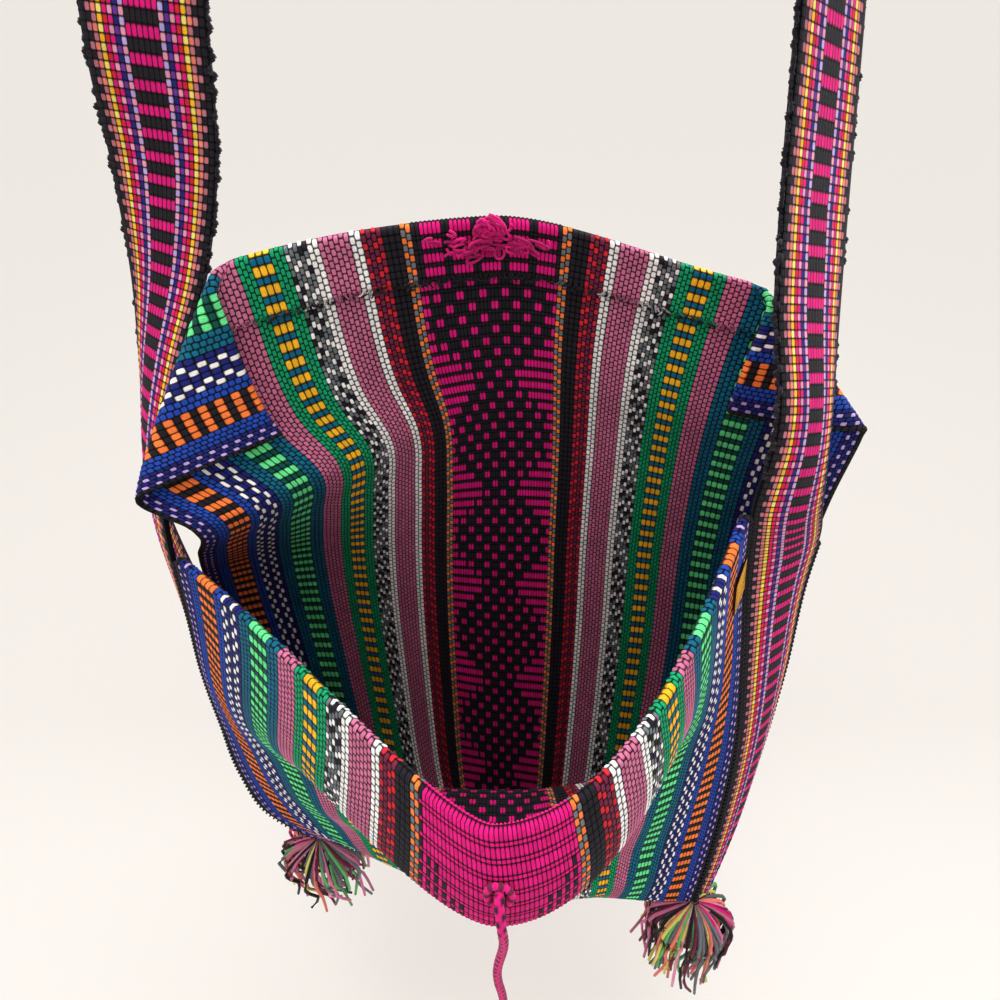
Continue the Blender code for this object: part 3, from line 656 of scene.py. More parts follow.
def tubes(paths, radii, sides, closed=False):
    """Places and faces of round tubes along many paths of equal point count at once.

    paths is (tube, point, 3) and radii is (tube, point). Each ring is a circle square to the
    path, and open tubes end in a point drawn in by half a radius.
    """
    count, points = paths.shape[:2]
    along = unit(np.gradient(paths, axis=1) if not closed
                 else np.roll(paths, -1, axis=1) - np.roll(paths, 1, axis=1))
    helper = np.where(np.abs(along[..., 2:]) > 0.9, (1.0, 0.1, 0.0), (0.05, 0.1, 1.0))
    first = unit(np.cross(along, helper))
    second = np.cross(along, first)
    angle = np.arange(sides) / sides * 2 * math.pi
    ring = (np.cos(angle)[:, None] * first[:, :, None]
            + np.sin(angle)[:, None] * second[:, :, None])
    places = paths[:, :, None] + radii[:, :, None, None] * ring
    number = np.arange(count * points * sides).reshape(count, points, sides)
    turned = np.roll(number, -1, axis=2)
    if closed:
        walls = np.stack([number, turned, np.roll(turned, -1, 1), np.roll(number, -1, 1)], -1)
        return places.reshape(-1, 3), walls.reshape(-1, 4)
    walls = np.stack([number[:, :-1], turned[:, :-1], turned[:, 1:], number[:, 1:]], -1)
    walls = walls.reshape(-1, 4)
    tips = number.size + np.arange(2 * count).reshape(count, 2)
    ends = np.stack([paths[:, 0] - along[:, 0] * radii[:, :1] / 2,
                     paths[:, -1] + along[:, -1] * radii[:, -1:] / 2], 1)
    caps = [np.stack([turned[:, 0], number[:, 0],
                      np.broadcast_to(tips[:, :1], (count, sides))], -1).reshape(-1, 3),
            np.stack([number[:, -1], turned[:, -1],
                      np.broadcast_to(tips[:, 1:], (count, sides))], -1).reshape(-1, 3)]
    faces = walls.tolist() + np.concatenate(caps).tolist()
    return np.concatenate([places.reshape(-1, 3), ends.reshape(-1, 3)]), faces


def tube_colours(piece, colours, points, sides):
    """Paints every tube of a piece made by tubes in a colour of its own, row by row."""
    numbers = corner_vertices(piece.data)
    rings = len(colours) * points * sides
    tube = np.where(numbers < rings, numbers // (points * sides), (numbers - rings) // 2)
    at = np.where(numbers < rings, numbers // sides % points,
                  np.where((numbers - rings) % 2 == 0, 0, points - 1))
    turn = np.where(numbers < rings, numbers % sides, 0)
    paint(piece, colours[tube], np.stack([turn / sides * 0.004, at * 0.002], 1))


# ---- Materials ----

def add_node(tree, kind, inputs=None, links=None, **options):
    """Adds a node, sets its options and input values, and links sockets into its inputs."""
    node = tree.nodes.new(kind)
    for key, value in options.items():
        setattr(node, key, value)
    for key, value in (inputs or {}).items():
        node.inputs[key].default_value = value
    for key, (source, socket) in (links or {}).items():
        tree.links.new(source.outputs[socket], node.inputs[key])
    return node


# GAP_SHADE is the painted shade at the rim of each grain, as a share of the yarn colour; the same
# value also raises the grains by bump.
GAP_START = 0.12
GAP_END = 0.85
GAP_SHADE = 0.04
GRAIN_RELIEF = 0.0006


def yarn_material(name, roughness, sheen, fibre_mm, fibre_height_mm, twist):
    """Dyed yarn, coloured by the attribute yarn, with painted shade in the gaps between grains and
    fine fibres that wind round it.

    fibre_mm is the spacing of the fibres and twist their slope along the yarn; both are read
    from the UV map in metres, so the fibres follow the surface.
    """
    made = bpy.data.materials.new(name)
    made.use_nodes = True
    tree = made.node_tree
    shader = tree.nodes["Principled BSDF"]
    shader.inputs["Roughness"].default_value = roughness
    shader.inputs["Specular IOR Level"].default_value = 0.12
    shader.inputs["Sheen Weight"].default_value = sheen
    shader.inputs["Sheen Roughness"].default_value = 0.5
    colour = add_node(tree, "ShaderNodeVertexColor", layer_name="yarn")
    place = add_node(tree, "ShaderNodeUVMap", uv_map="weave")
    turned = add_node(tree, "ShaderNodeMapping", {"Rotation": (0, 0, math.radians(twist)),
                                                  "Scale": (1, 0.25, 1)},
                      {"Vector": (place, "UV")})
    fibres = add_node(tree, "ShaderNodeTexNoise", {"Scale": 1000 / fibre_mm, "Detail": 2.0},
                      {"Vector": (turned, "Vector")})
    blotches = add_node(tree, "ShaderNodeTexNoise", {"Scale": 60.0, "Detail": 3.0},
                        {"Vector": (place, "UV")})
    light = add_node(tree, "ShaderNodeMapRange", {"From Min": 0.3, "From Max": 0.7,
                                                  "To Min": 0.78, "To Max": 1.18},
                     {"Value": (fibres, "Fac")})
    uneven = add_node(tree, "ShaderNodeMapRange", {"From Min": 0.3, "From Max": 0.7,
                                                   "To Min": 0.88, "To Max": 1.08},
                      {"Value": (blotches, "Fac")})
    both = add_node(tree, "ShaderNodeMath", links={0: (light, "Result"), 1: (uneven, "Result")},
                    operation="MULTIPLY")
    # Rounded grains with painted shade in the gaps between them: x^4 + y^4 is 0 in a grain's middle,
    # 1 at the middle of its sides and 2 at its corners, and the colour is darkened towards GAP_SHADE
    # as it rises.
    spot = add_node(tree, "ShaderNodeAttribute", attribute_name="grain")
    squares = add_node(tree, "ShaderNodeVectorMath", operation="MULTIPLY",
                       links={0: (spot, "Vector"), 1: (spot, "Vector")})
    rim = add_node(tree, "ShaderNodeVectorMath", operation="DOT_PRODUCT",
                   links={0: (squares, "Vector"), 1: (squares, "Vector")})
    gap = add_node(tree, "ShaderNodeMapRange", {"From Min": GAP_START, "From Max": GAP_END,
                                                "To Min": 1.0, "To Max": GAP_SHADE},
                   {"Value": (rim, "Value")}, interpolation_type="SMOOTHSTEP")
    dark = add_node(tree, "ShaderNodeMath", links={0: (both, "Value"), 1: (gap, "Result")},
                    operation="MULTIPLY")
    tinted = add_node(tree, "ShaderNodeVectorMath", operation="MULTIPLY",
                      links={0: (colour, "Color"), 1: (dark, "Value")})
    tree.links.new(tinted.outputs["Vector"], shader.inputs["Base Color"])
    grains = add_node(tree, "ShaderNodeBump", {"Strength": 0.7, "Distance": GRAIN_RELIEF},
                      {"Height": (gap, "Result")})
    bump = add_node(tree, "ShaderNodeBump", {"Strength": 0.6, "Distance": fibre_height_mm / 1000},
                    {"Height": (fibres, "Fac"), "Normal": (grains, "Normal")})
    tree.links.new(bump.outputs["Normal"], shader.inputs["Normal"])
    return made


MATERIALS = {}


def finish_of(key):
    """The named finish, made when it is first asked for."""
    if key not in MATERIALS:
        MATERIALS[key] = {
            # Hard-spun two-ply warp yarn: matt, rounded grains with painted shade in the gaps
            # between them.
            "cloth": lambda: yarn_material("hand woven warp faced cloth", 0.9, 0.03, 0.35, 0.10, 28),
            "band": lambda: yarn_material("hand woven warp faced band", 0.9, 0.03, 0.35, 0.10, -28),
            # Sewing yarn wound tight, so a little smoother than the cloth.
            "thread": lambda: yarn_material("waxed black sewing yarn", 0.75, 0.03, 0.25, 0.06, 40),
            # Loose two-ply yarn ends: fuzzy, with the widest colour changes.
            "loose": lambda: yarn_material("loose two ply yarn ends", 0.92, 0.10, 0.30, 0.12, 35),
            # Plaited yarn cord, one bright and one dark strand.
            "plait": lambda: yarn_material("plaited yarn cord", 0.85, 0.08, 0.30, 0.10, 30),
            # Dense narrow tape: smoother than the cloth, fine ribs.
            "tape": lambda: yarn_material("dense woven ochre tape", 0.80, 0.03, 0.40, 0.05, 0),
        }[key]()
    return MATERIALS[key]


# ---- Woven pieces ----

PART_STRIPES = 5


def cloth_parts():
    """Name, first and last column line, and seed of the cloth's three parts."""
    number = half_stripes(STRIPES)[0]
    half = len(number)
    middle = int((number < PART_STRIPES).sum())
    return (("cloth_left_stripes", 0, half - middle, 1),
            ("cloth_middle", half - middle, half + middle, 2),
            ("cloth_right_stripes", half + middle, 2 * half, 3))


def weave_cloth():
    """The striped strip from the front hem down, round the bottom and up to the back hem.

    It is woven in three parts side by side, which meet between two stripes.
    """
    weave = settings().weave
    columns = column_lines(STRIPES, HALF)
    laid = laying(STRIPES)
    length = BACK + 2 * HEM_DEPTH
    walls = (CLOTH_THICKNESS / 2 - weave.valley, CLOTH_THICKNESS / 2 + weave.crown)
    for name, first, last, seed in cloth_parts():
        part = woven_sheet(name, sewn_cloth, columns, laid, first, last, weave.rows, -HEM_DEPTH,
                           length / weave.rows, walls, cloth_yarns, finish_of("cloth"),
                           ["bag_cloth"], seed)


def weave_band():
    """The long band: gusset up one side, strap over the hook, gusset down the other side."""
    weave = settings().weave
    columns = column_lines(BAND_STRIPES, 0.5) + 0.5
    laid = laying(BAND_STRIPES)
    walls = (BAND_THICKNESS / 2 - weave.valley, BAND_THICKNESS / 2 + weave.crown)
    band = woven_sheet("woven_band", band_place, columns, laid, 0, len(laid),
                       weave.band_rows, 0.0, BAND_LENGTH / weave.band_rows, walls, band_yarns,
                       finish_of("band"), ["strap_band"], 4)


LABEL_THICKNESS = 0.0008
LABEL_COLUMNS = 22
LABEL_ROWS = 36


def sew_label():
    """The small plain label: dense ochre tape with a darker woven border."""
    right = HALF - LABEL_INSET
    columns = np.linspace(right - LABEL_WIDTH, right, LABEL_COLUMNS + 1)
    over = CLOTH_THICKNESS / 2 + 2 * GAP + LABEL_THICKNESS / 2
    label = woven_sheet("plain_label", lambda u, v, w: cloth_place(u, v, w + over), columns,
                        [(column % 2, (2,)) for column in range(LABEL_COLUMNS)],
                        0, LABEL_COLUMNS, LABEL_ROWS, LABEL_DROP, LABEL_HEIGHT / LABEL_ROWS,
                        (LABEL_THICKNESS / 2 - 0.00006, LABEL_THICKNESS / 2 + 0.00004), label_yarns,
                        finish_of("tape"), ["side_label"], 5)


def label_yarns(column, row, face):
    """Yarn number of each grain of the label: one dark line runs round it near its edge."""
    inset = np.minimum(np.minimum(column, LABEL_COLUMNS - 1 - column),
                       np.minimum(row, LABEL_ROWS - 1 - row))
    return np.where(inset == 2, YARN["maroon"], YARN["ochre"])


# ---- Cords and trimmings ----

CORD_LENGTH_POINTS = 220
PLAIT_PITCH = 0.0085


def plaited(path, diameter, pitch, steps, sides, colours):
    """A plaited cord along a path, and the colour of each of its vertices.

    Its radius is R (0.80 + 0.20 max(|cos(a + k s)|, |cos(a - k s)|)), so strands cross over
    both ways, and the dark strand shows where the first of them is the lower.
    """
    run = lengths(path)
    s = np.linspace(0, run[-1], steps)
    centre = through(path, run, s)
    along = unit(np.gradient(centre, axis=0))
    first = unit(np.cross(along, (1.0, 0.15, 0.1)))
    second = np.cross(along, first)
    a = np.arange(sides) / sides * 2 * math.pi
    wave = 2 * math.pi * s[:, None] / pitch
    right = np.abs(np.cos(a + wave))
    left = np.abs(np.cos(a - wave))
    radius = diameter / 2 * (0.80 + 0.20 * np.maximum(right, left))
    ring = np.cos(a)[None, :, None] * first[:, None] + np.sin(a)[None, :, None] * second[:, None]
    places = centre[:, None] + radius[..., None] * ring
    number = np.arange(steps * sides).reshape(steps, sides)
    turned = np.roll(number, -1, axis=1)
    walls = np.stack([number[:-1], turned[:-1], turned[1:], number[1:]], -1).reshape(-1, 4)
    faces = walls.tolist() + [number[0][::-1].tolist(), number[-1].tolist()]
    shade = np.where(left > right, colours[1], colours[0])
    return places.reshape(-1, 3), faces, shade.ravel(), np.stack(
        [np.broadcast_to(a * diameter / 2, wave.shape[:1] + a.shape), s[:, None] + 0 * a], -1)


def hang_cord():
    """The closing cord and the knot at its end."""
    colours = palette()
    path = np.array(CORD_ROUTE)
    diameter = settings().cord.diameter
    places, faces, shade, uv = plaited(path, diameter, PLAIT_PITCH, CORD_LENGTH_POINTS, 12,
                                       (YARN["magenta"], YARN["black"]))
    cord = make_piece("closing_cord", places, faces, finish_of("plait"), ["tie_cord"])
    numbers = corner_vertices(cord.data)
    paint(cord, colours[shade][numbers], uv.reshape(-1, 2)[numbers])
    knot = knot_piece("closing_cord_knot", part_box("tie_cord_knot"))


def knot_piece(name, box):
    """An overhand knot in its CAD box: a yarn tube along a trefoil, drawn tight.

    The trefoil is (sin t + 2 sin 2t, cos t - 2 cos 2t, -sin 3t), scaled to the box.
    """
    low, high = np.array(box)
    t = np.arange(72) / 72 * 2 * math.pi
    yarn = settings().cord.diameter * 0.42
    line = np.stack([np.sin(t) + 2 * np.sin(2 * t), np.cos(t) - 2 * np.cos(2 * t),
                     -1.6 * np.sin(3 * t)], 1)
    reach = (high - low) / 2 - yarn
    line = (low + high) / 2 + line / np.abs(line).max(axis=0) * reach * (0.9, 0.9, 1.0)
    places, faces = tubes(line[None], np.full((1, len(t)), yarn), 8, closed=True)
    knot = make_piece(name, places, faces, finish_of("plait"), ["tie_cord_knot"])
    numbers = corner_vertices(knot.data)
    at = numbers // 8
    colour = np.where((at % 6 < 2)[:, None], palette()[YARN["maroon"]], palette()[YARN["magenta"]])
    paint(knot, colour, np.stack([numbers % 8 * 0.0006, at * 0.0006], 1))
    return knot


def sew_seams():
    """Oversewn joins: a coil of thread over both edges, round a thin core.

    The coil is c + r (cos f, sin f) square to the selvedge line c, with f turning once for
    every stitch length along it.
    """
    stitching = settings().stitching
    black = palette()[YARN["black"]]
    for name, side, back_sewn in (("seam_left", -1, BACK_SEWN_LEFT),
                                  ("seam_right", 1, BACK_SEWN_RIGHT)):
        v = np.linspace(0.002, FRONT_HEIGHT + back_sewn - 0.002, 400)
        line = selvedge(side, v)
        run = lengths(line)
        points = int(run[-1] / stitching.pitch * 10)
        s = np.linspace(0, run[-1], points)
        line = np.stack([np.interp(s, run, line[:, k]) for k in range(3)], 1)
        along = unit(np.gradient(line, axis=0))
        first = unit(np.cross(along, (0.31, 0.22, 0.93)))
        second = np.cross(along, first)
        f = 2 * math.pi * s[:, None] / stitching.pitch
        coil = line + COIL_RADIUS * (np.cos(f) * first + np.sin(f) * second)
        paths = np.stack([coil, line])
        radii = np.stack([np.full(points, stitching.radius), np.full(points, COIL_CORE)])
        places, faces = tubes(paths, radii, 6)
        piece = make_piece("oversewn_" + name, places, faces, finish_of("thread"), [name])
        tube_colours(piece, np.stack([black * 1.3, black]), points, 6)


COIL_RADIUS = 0.0013
COIL_CORE = 0.0008
HEM_STITCH = 0.0042
HEM_PITCH = 0.0064
THREAD_INSET = 0.003
THREAD_TO_EAR = 0.008


def sew_hems():
    """Rows of short stitches that hold the two hems down on the inner side."""
    black = palette()[YARN["black"]]
    hem_end = HALF - 3 * SEAM_SET
    base = -2 * HEM_BEND - CLOTH_THICKNESS / 2
    t = np.linspace(0, 1, 7)
    rows = (("front", -hem_end, hem_end, HEM_DEPTH - THREAD_INSET),
            ("back", LEFT_EAR - HALF + THREAD_TO_EAR, HALF - RIGHT_EAR - THREAD_TO_EAR,
             BACK - HEM_DEPTH + THREAD_INSET))
    for name, start, end, v in rows:
        chance = np.random.default_rng(len(name))
        first = np.arange(start, end - HEM_STITCH, HEM_PITCH)[:, None]
        u = first + HEM_STITCH * t
        slant = v + (chance.random((len(first), 1)) - 0.5) * 0.002 * (2 * t - 1)
        w = base - 0.0007 * np.sin(math.pi * t) + 0 * u
        paths = cloth_place(u, slant + 0 * u, w)
        places, faces = tubes(paths, np.full(u.shape, 0.00055), 6)
        piece = make_piece("hem_stitches_" + name, places, faces, finish_of("thread"),
                           ["hem_stitching_" + name])
        tube_colours(piece, np.tile(black, (len(first), 1)), len(t), 6)


def fray_hems():
    """Cut warp ends that stick out of the raw edges of the hems, in their stripes' colours darkened
    by painted shade.
    """
    chance = np.random.default_rng(11)
    colours = palette()
    t = np.linspace(0, 1, 5)
    last_row = settings().weave.rows - 1
    for name, edge, sign, row in (("front", -HEM_DEPTH, -1, 0),
                                  ("back", BACK + HEM_DEPTH, 1, last_row)):
        lines = column_lines(STRIPES, HALF)
        column = np.repeat(np.arange(2, len(lines) - 3), 2)
        reach = 0.0012 + 0.0030 * chance.random(len(column)) ** 2
        u = (lines[column] + lines[column + 1]) / 2
        lean = (chance.random(len(column)) - 0.5) * 0.007
        lift = 0.0008 + 0.0030 * chance.random(len(column))
        path_u = u[:, None] + lean[:, None] * t**1.5
        path_v = edge + sign * (reach[:, None] * t - 0.001)
        path_w = lift[:, None] * np.sin(t * 2.2)
        paths = sewn_cloth(path_u, path_v, path_w)
        radii = np.tile(0.00055 * (1 - 0.45 * t), (len(column), 1))
        places, faces = tubes(paths, radii, 4)
        piece = make_piece("frayed_hem_" + name, places, faces, finish_of("loose"))
        yarns = cloth_yarns(column, np.full(len(column), row), "inner")
        # Painted shade: each end takes 0.3 to 0.7 of its stripe's colour, by a random amount.
        shaded_end_colours = colours[yarns] * (0.3 + 0.4 * chance.random((len(column), 1)))
        tube_colours(piece, shaded_end_colours, len(t), 4)


TASSEL_HEAD_RADIUS = 0.0095
TASSEL_HEAD_LENGTH = 0.018
FRINGE_RADIUS = 0.026
FRINGE_LENGTH = 0.050
TASSEL_YARNS = ["coral", "grey", "green", "pale_yellow", "magenta", "black", "light_pink",
                "coral", "dusty_pink", "rose", "grey", "maroon"]
TASSELS = (("left", -1, (0.06, 0.0, -1.0), 21), ("right", 1, (-0.12, -0.25, -1.0), 22))


def tie_tassels():
    """A wrapped knot and a bush of yarn ends under each bottom corner.

    The knot is turned with radius p(d) (1 + 0.08 |sin(n d + a / 2)|), which gives slanting
    wraps of yarn. Each end leaves the top at its own angle, arches out over the knot and then
    sinks under its own weight, as t to the power 1.6.
    """
    for name, side, down, seed in TASSELS:
        down = unit(np.array(down))
        top = selvedge(side, np.array(FRONT_HEIGHT)) + down * SEAM_SET
        first = unit(np.cross(down, (0.0, 1.0, 0.2)))
        second = np.cross(down, first)
        turned_knot("tassel_knot_" + name, top, down, first, second, "tassel_head_" + name)
        fringe("tassel_ends_" + name, top, down, first, second, seed, "tassel_fringe_" + name)


def turned_knot(name, top, down, first, second, node):
    """The wrapped head of a tassel."""
    drop = np.linspace(0, 1, 46)
    profile = np.interp(drop, [0, 0.15, 0.4, 0.7, 1.0], [0.3, 0.75, 1.0, 0.9, 0.55])
    a = np.arange(32) / 32 * 2 * math.pi
    wraps = np.abs(np.sin(9 * math.pi * drop[:, None] + a / 2))
    radius = TASSEL_HEAD_RADIUS * profile[:, None] * (0.90 + 0.10 * wraps)
    ring = np.cos(a)[:, None] * first + np.sin(a)[:, None] * second
    places = top + drop[:, None, None] * TASSEL_HEAD_LENGTH * down + radius[..., None] * ring
    number = np.arange(drop.size * a.size).reshape(drop.size, a.size)
    turned = np.roll(number, -1, axis=1)
    walls = np.stack([number[:-1], number[1:], turned[1:], turned[:-1]], -1).reshape(-1, 4)
    faces = walls.tolist() + [number[0].tolist(), number[-1][::-1].tolist()]
    knot = make_piece(name, places, faces, finish_of("loose"), [node])
    numbers = corner_vertices(knot.data)
    band = (numbers // a.size) // 5 % 3
    colours = palette()[[YARN["black"], YARN["navy"], YARN["maroon"]]]
    paint(knot, colours[band], np.stack([numbers % a.size * 0.001, numbers // a.size * 0.0004], 1))


def fringe(name, top, down, first, second, seed, node):
    """The bush of yarn ends of a tassel."""
    chance = np.random.default_rng(seed)
    count = settings().tassel.ends
    t = np.linspace(0, 1, 10)[None, :, None]
    around = (np.arange(count) + 0.6 * chance.random(count)) * 2.39996
    spread = np.sqrt((np.arange(count) + 0.5) / count)
    rim = (np.cos(around)[:, None] * first + np.sin(around)[:, None] * second)[:, None]
    spread = spread[:, None, None]
    length = 0.80 + 0.20 * chance.random((count, 1, 1))
    wiggle = chance.normal(0, 0.0026, (count, 6, 3))
    knots = np.linspace(0, 1, 6)
    bent = np.stack([[np.interp(t[0, :, 0], knots, wiggle[i, :, k]) for k in range(3)]
                     for i in range(count)]).transpose(0, 2, 1) * t
    over_knot = TASSEL_HEAD_RADIUS + 0.0030 + (FRINGE_RADIUS - TASSEL_HEAD_RADIUS - 0.0025) * spread
    closing = np.clip(2 * t - 1, 0, 1)
    out = over_knot * np.sin(math.pi / 2 * np.minimum(t * 2.2, 1))
    out *= 1 - 0.75 * (1 - spread) * closing**2 * (3 - 2 * closing)
    fall = (FRINGE_LENGTH + 0.004) * length * (0.04 * t + 0.96 * t**1.7)
    paths = top + rim * (0.0015 + out) + down * (0.001 + fall) + bent
    radii = np.full((count, t.size), settings().tassel.end_radius)
    radii *= 1 - 0.25 * t[0, :, 0] ** 3
    places, faces = tubes(paths, radii, 5)
    piece = make_piece(name, places, faces, finish_of("loose"), [node])
    choice = palette()[[YARN[yarn] for yarn in TASSEL_YARNS]]
    drawn = choice[chance.integers(0, len(choice), count)]
    tube_colours(piece, drawn * (0.8 + 0.35 * chance.random((count, 1))), t.size, 5)


EYELET_RADIUS = 0.0042
EYELET_YARN = 0.0012
LOOP_RADIUS = 0.0075
LOOP_YARN = 0.0016


def stitched_ring(name, centre, facing, radius, yarn, stitches, node, colours):
    """A ring closely oversewn with yarn: a torus whose tube swells by |cos| at each stitch."""
    axis = unit(np.array(facing))
    first = unit(np.cross(axis, (1.0, 0.1, 0.05)))
    second = np.cross(axis, first)
    turn = np.arange(stitches * 6)[:, None] / (stitches * 6) * 2 * math.pi
    spin = np.arange(10)[None, :] / 10 * 2 * math.pi
    swell = yarn * (0.82 + 0.26 * np.abs(np.cos(turn * stitches / 2 + spin / 4)))
    reach = (radius + swell * np.cos(spin))[..., None]
    rim = np.cos(turn)[..., None] * first + np.sin(turn)[..., None] * second
    places = np.array(centre) + reach * rim + (swell * np.sin(spin))[..., None] * axis
    number = np.arange(turn.size * 10).reshape(turn.size, 10)
    walls = np.stack([number, np.roll(number, -1, 0), np.roll(np.roll(number, -1, 0), -1, 1),
                      np.roll(number, -1, 1)], -1).reshape(-1, 4)
    ring = make_piece(name, places, walls, finish_of("loose"), [node])
    numbers = corner_vertices(ring.data)
    at = numbers // 10 // 6 % 2
    paint(ring, palette()[[YARN[c] for c in colours]][at],
          np.stack([numbers % 10 * 0.0007, numbers // 10 * 0.0005], 1))


def sew_rings():
    """The stitched eyelet on the front panel and the yarn loop on the back rim."""
    at = (np.array(0.0), np.array(EYELET_DROP))
    out = np.array(CLOTH_THICKNESS / 2 + GAP + EYELET_YARN)
    facing = read_table(CLOTH_OUT, *on_cloth(*at))
    stitched_ring("stitched_eyelet", cloth_place(*at, out), facing, EYELET_RADIUS, EYELET_YARN,
                  16, "tie_eyelet", ("magenta", "maroon"))
    loop_tuft()


def loop_tuft():
    """The knotted yarn loop on the back rim: a ragged row of loose arcs and a small knot.

    Each arc is (r sin a, r (1 - cos a)) on the cloth's inner side. The knot's arcs stand
    around the middle of the rim and rise a little over it.
    """
    chance = np.random.default_rng(41)
    count = settings().tassel.loop_arcs
    a = np.linspace(0, 1, 12)[None, :]
    knotted = np.arange(count)[:, None] % 5 < 2
    way = chance.random((count, 1)) * 2 * math.pi
    size = LOOP_RADIUS * (0.25 + 0.35 * chance.random((count, 1)))
    turns = math.pi * (1.0 + 0.8 * chance.random((count, 1)))
    along = size * np.sin(turns * a)
    over = size * (1 - np.cos(turns * a)) / 2
    scatter = np.where(knotted, 0.0022, 0.0100)
    x = along * np.cos(way) - over * np.sin(way) + scatter * chance.normal(0, 1, (count, 1))
    height = np.where(knotted, LOOP_DROP, 0.004) + 0.0022 * chance.normal(0, 1, (count, 1))
    y = np.where(knotted, 0.9, 0.5) * (along * np.sin(way) + over * np.cos(way)) + height
    lift = 0.0012 + 0.0030 * chance.random((count, 1)) * np.sin(math.pi * a)
    w = -2 * HEM_BEND - CLOTH_THICKNESS / 2 - GAP - LOOP_YARN * 0.6 - lift
    v = BACK - LOOP_DROP + y
    paths = cloth_place(x, np.minimum(v, BACK - 0.001), w)
    paths[..., 2] += np.maximum(v - BACK + 0.001, 0)
    places, faces = tubes(paths, np.full(x.shape, LOOP_YARN * 0.36), 6)
    tuft = make_piece("closing_loop", places, faces, finish_of("loose"), ["back_loop"])
    magenta = palette()[YARN["magenta"]]
    tube_colours(tuft, magenta * (0.45 + 0.6 * chance.random((count, 1))), a.size, 6)


PICOT_STEP = 0.0031


def edge_picots():
    """Small black loops along both free edges of the strap.

    Each is a half wave b sin(pi t) out from the edge, a few millimetres long.
    """
    chance = np.random.default_rng(31)
    t = np.linspace(0, 1, 7)[None, :]
    paths = []
    for edge, sign in ((0.0, -1), (1.0, 1)):
        s = np.arange(0.315, BAND_LENGTH - 0.315, PICOT_STEP)
        s = s[:, None] + (chance.random((len(s), 1)) - 0.5) * 0.002
        bulge = 0.0010 + 0.0016 * chance.random(s.shape) ** 2
        c = edge + sign * (bulge * np.sin(math.pi * t) - 0.0008) / BAND_WIDTH
        w = (chance.random(s.shape) - 0.5) * 0.0022 * np.sin(math.pi * t)
        along = s + (t - 0.5) * (0.0022 + 0.0016 * chance.random(s.shape))
        paths.append(band_place(c, along, w))
    paths = np.concatenate(paths)
    places, faces = tubes(paths, np.full(paths.shape[:2], 0.0009), 5)
    piece = make_piece("strap_picots", places, faces, finish_of("loose"))
    black = palette()[YARN["black"]]
    tube_colours(piece, black * (0.7 + 0.9 * chance.random((len(paths), 1))), 7, 5)


# ---- Stage ----

CAMERA_PLACE = (0.0, -0.27, -0.38)
CAMERA_PITCH = 43.0
CAMERA_LENS = 27.04
SENSOR_WIDTH = 36.0


def set_camera():
    """The photograph's camera: in front of the bag and above its mouth, looking down."""
    data = bpy.data.cameras.new("photo_camera")
    data.lens = CAMERA_LENS
    data.sensor_width = SENSOR_WIDTH
    data.clip_start = 0.01
    camera = bpy.data.objects.new("photo_camera", data)
    camera.location = CAMERA_PLACE
    camera.rotation_euler = (math.radians(90 - CAMERA_PITCH), 0, 0)
    bpy.context.collection.objects.link(camera)
    bpy.context.scene.camera = camera


def area_lamp(name, place, target, size, power):
    """A square soft lamp that faces a target."""
    data = bpy.data.lights.new(name, "AREA")
    data.size = size
    data.energy = power
    lamp = bpy.data.objects.new(name, data)
    place, target = np.array(place, float), np.array(target, float)
    back = unit(place - target)
    side = unit(np.cross((0.0, 0.0, 1.0), back))
    up = np.cross(back, side)
    turn = np.stack([side, up, back], 1)
    lamp.matrix_world = [[*turn[0], place[0]], [*turn[1], place[1]], [*turn[2], place[2]],
                         [0, 0, 0, 1]]
    bpy.context.collection.objects.link(lamp)


def set_stage():
    """A pale floor under the bag, a pale sky and soft lamps."""
    stage = settings().stage
    size = 9.0
    mesh = bpy.data.meshes.new("floor")
    mesh.from_pydata([(-size, -size, FLOOR_HEIGHT), (size, -size, FLOOR_HEIGHT),
                      (size, size, FLOOR_HEIGHT), (-size, size, FLOOR_HEIGHT)], [], [(0, 1, 2, 3)])
    floor = bpy.data.objects.new("floor", mesh)
    bpy.context.collection.objects.link(floor)
    paint_board = bpy.data.materials.new("matt white painted board")
    paint_board.use_nodes = True
    shader = paint_board.node_tree.nodes["Principled BSDF"]
    shader.inputs["Base Color"].default_value = (*stage.floor_colour, 1)
    shader.inputs["Roughness"].default_value = 0.8
    shader.inputs["Specular IOR Level"].default_value = 0.2
    tree = paint_board.node_tree
    path = add_node(tree, "ShaderNodeLightPath")
    seen = add_node(tree, "ShaderNodeMath", {2: 0.0}, operation="MAXIMUM",
                    links={0: (path, "Is Camera Ray"), 1: (path, "Is Glossy Ray")})
    glow = add_node(tree, "ShaderNodeMath", {1: stage.floor_glow}, {0: (seen, "Value")},
                    operation="MULTIPLY")
    shader.inputs["Emission Color"].default_value = (*stage.floor_colour, 1)
    tree.links.new(glow.outputs["Value"], shader.inputs["Emission Strength"])
    mesh.materials.append(paint_board)
    world = bpy.data.worlds.new("pale room")
    world.use_nodes = True
    sky = world.node_tree.nodes["Background"]
    sky.inputs["Color"].default_value = (*stage.sky_colour, 1)
    sky.inputs["Strength"].default_value = stage.sky_strength
    bpy.context.scene.world = world
    area_lamp("window_lamp", (-0.9, -2.2, -0.3), (0.0, 0.0, -0.6), 1.0, stage.lamp_power)
    area_lamp("top_lamp", (0.5, -0.5, 1.6), (0.0, 0.0, -0.6), 1.2, stage.lamp_power * 0.3)
    bpy.context.scene.view_settings.view_transform = "Standard"


FLOOR_HEIGHT = -1.05


# ---- Settings that the panel shows ----

class BAG_PG_yarns(bpy.types.PropertyGroup):
    """The colours of the dyed yarns."""
    __annotations__ = {
        name: FloatVectorProperty(name=name.replace("_", " ").capitalize(),
                                  description="Colour of the " + name.replace("_", " ") + " yarn",
                                  subtype="COLOR", size=3, min=0, max=1, default=linear(colour))
        for name, colour in YARNS.items()}


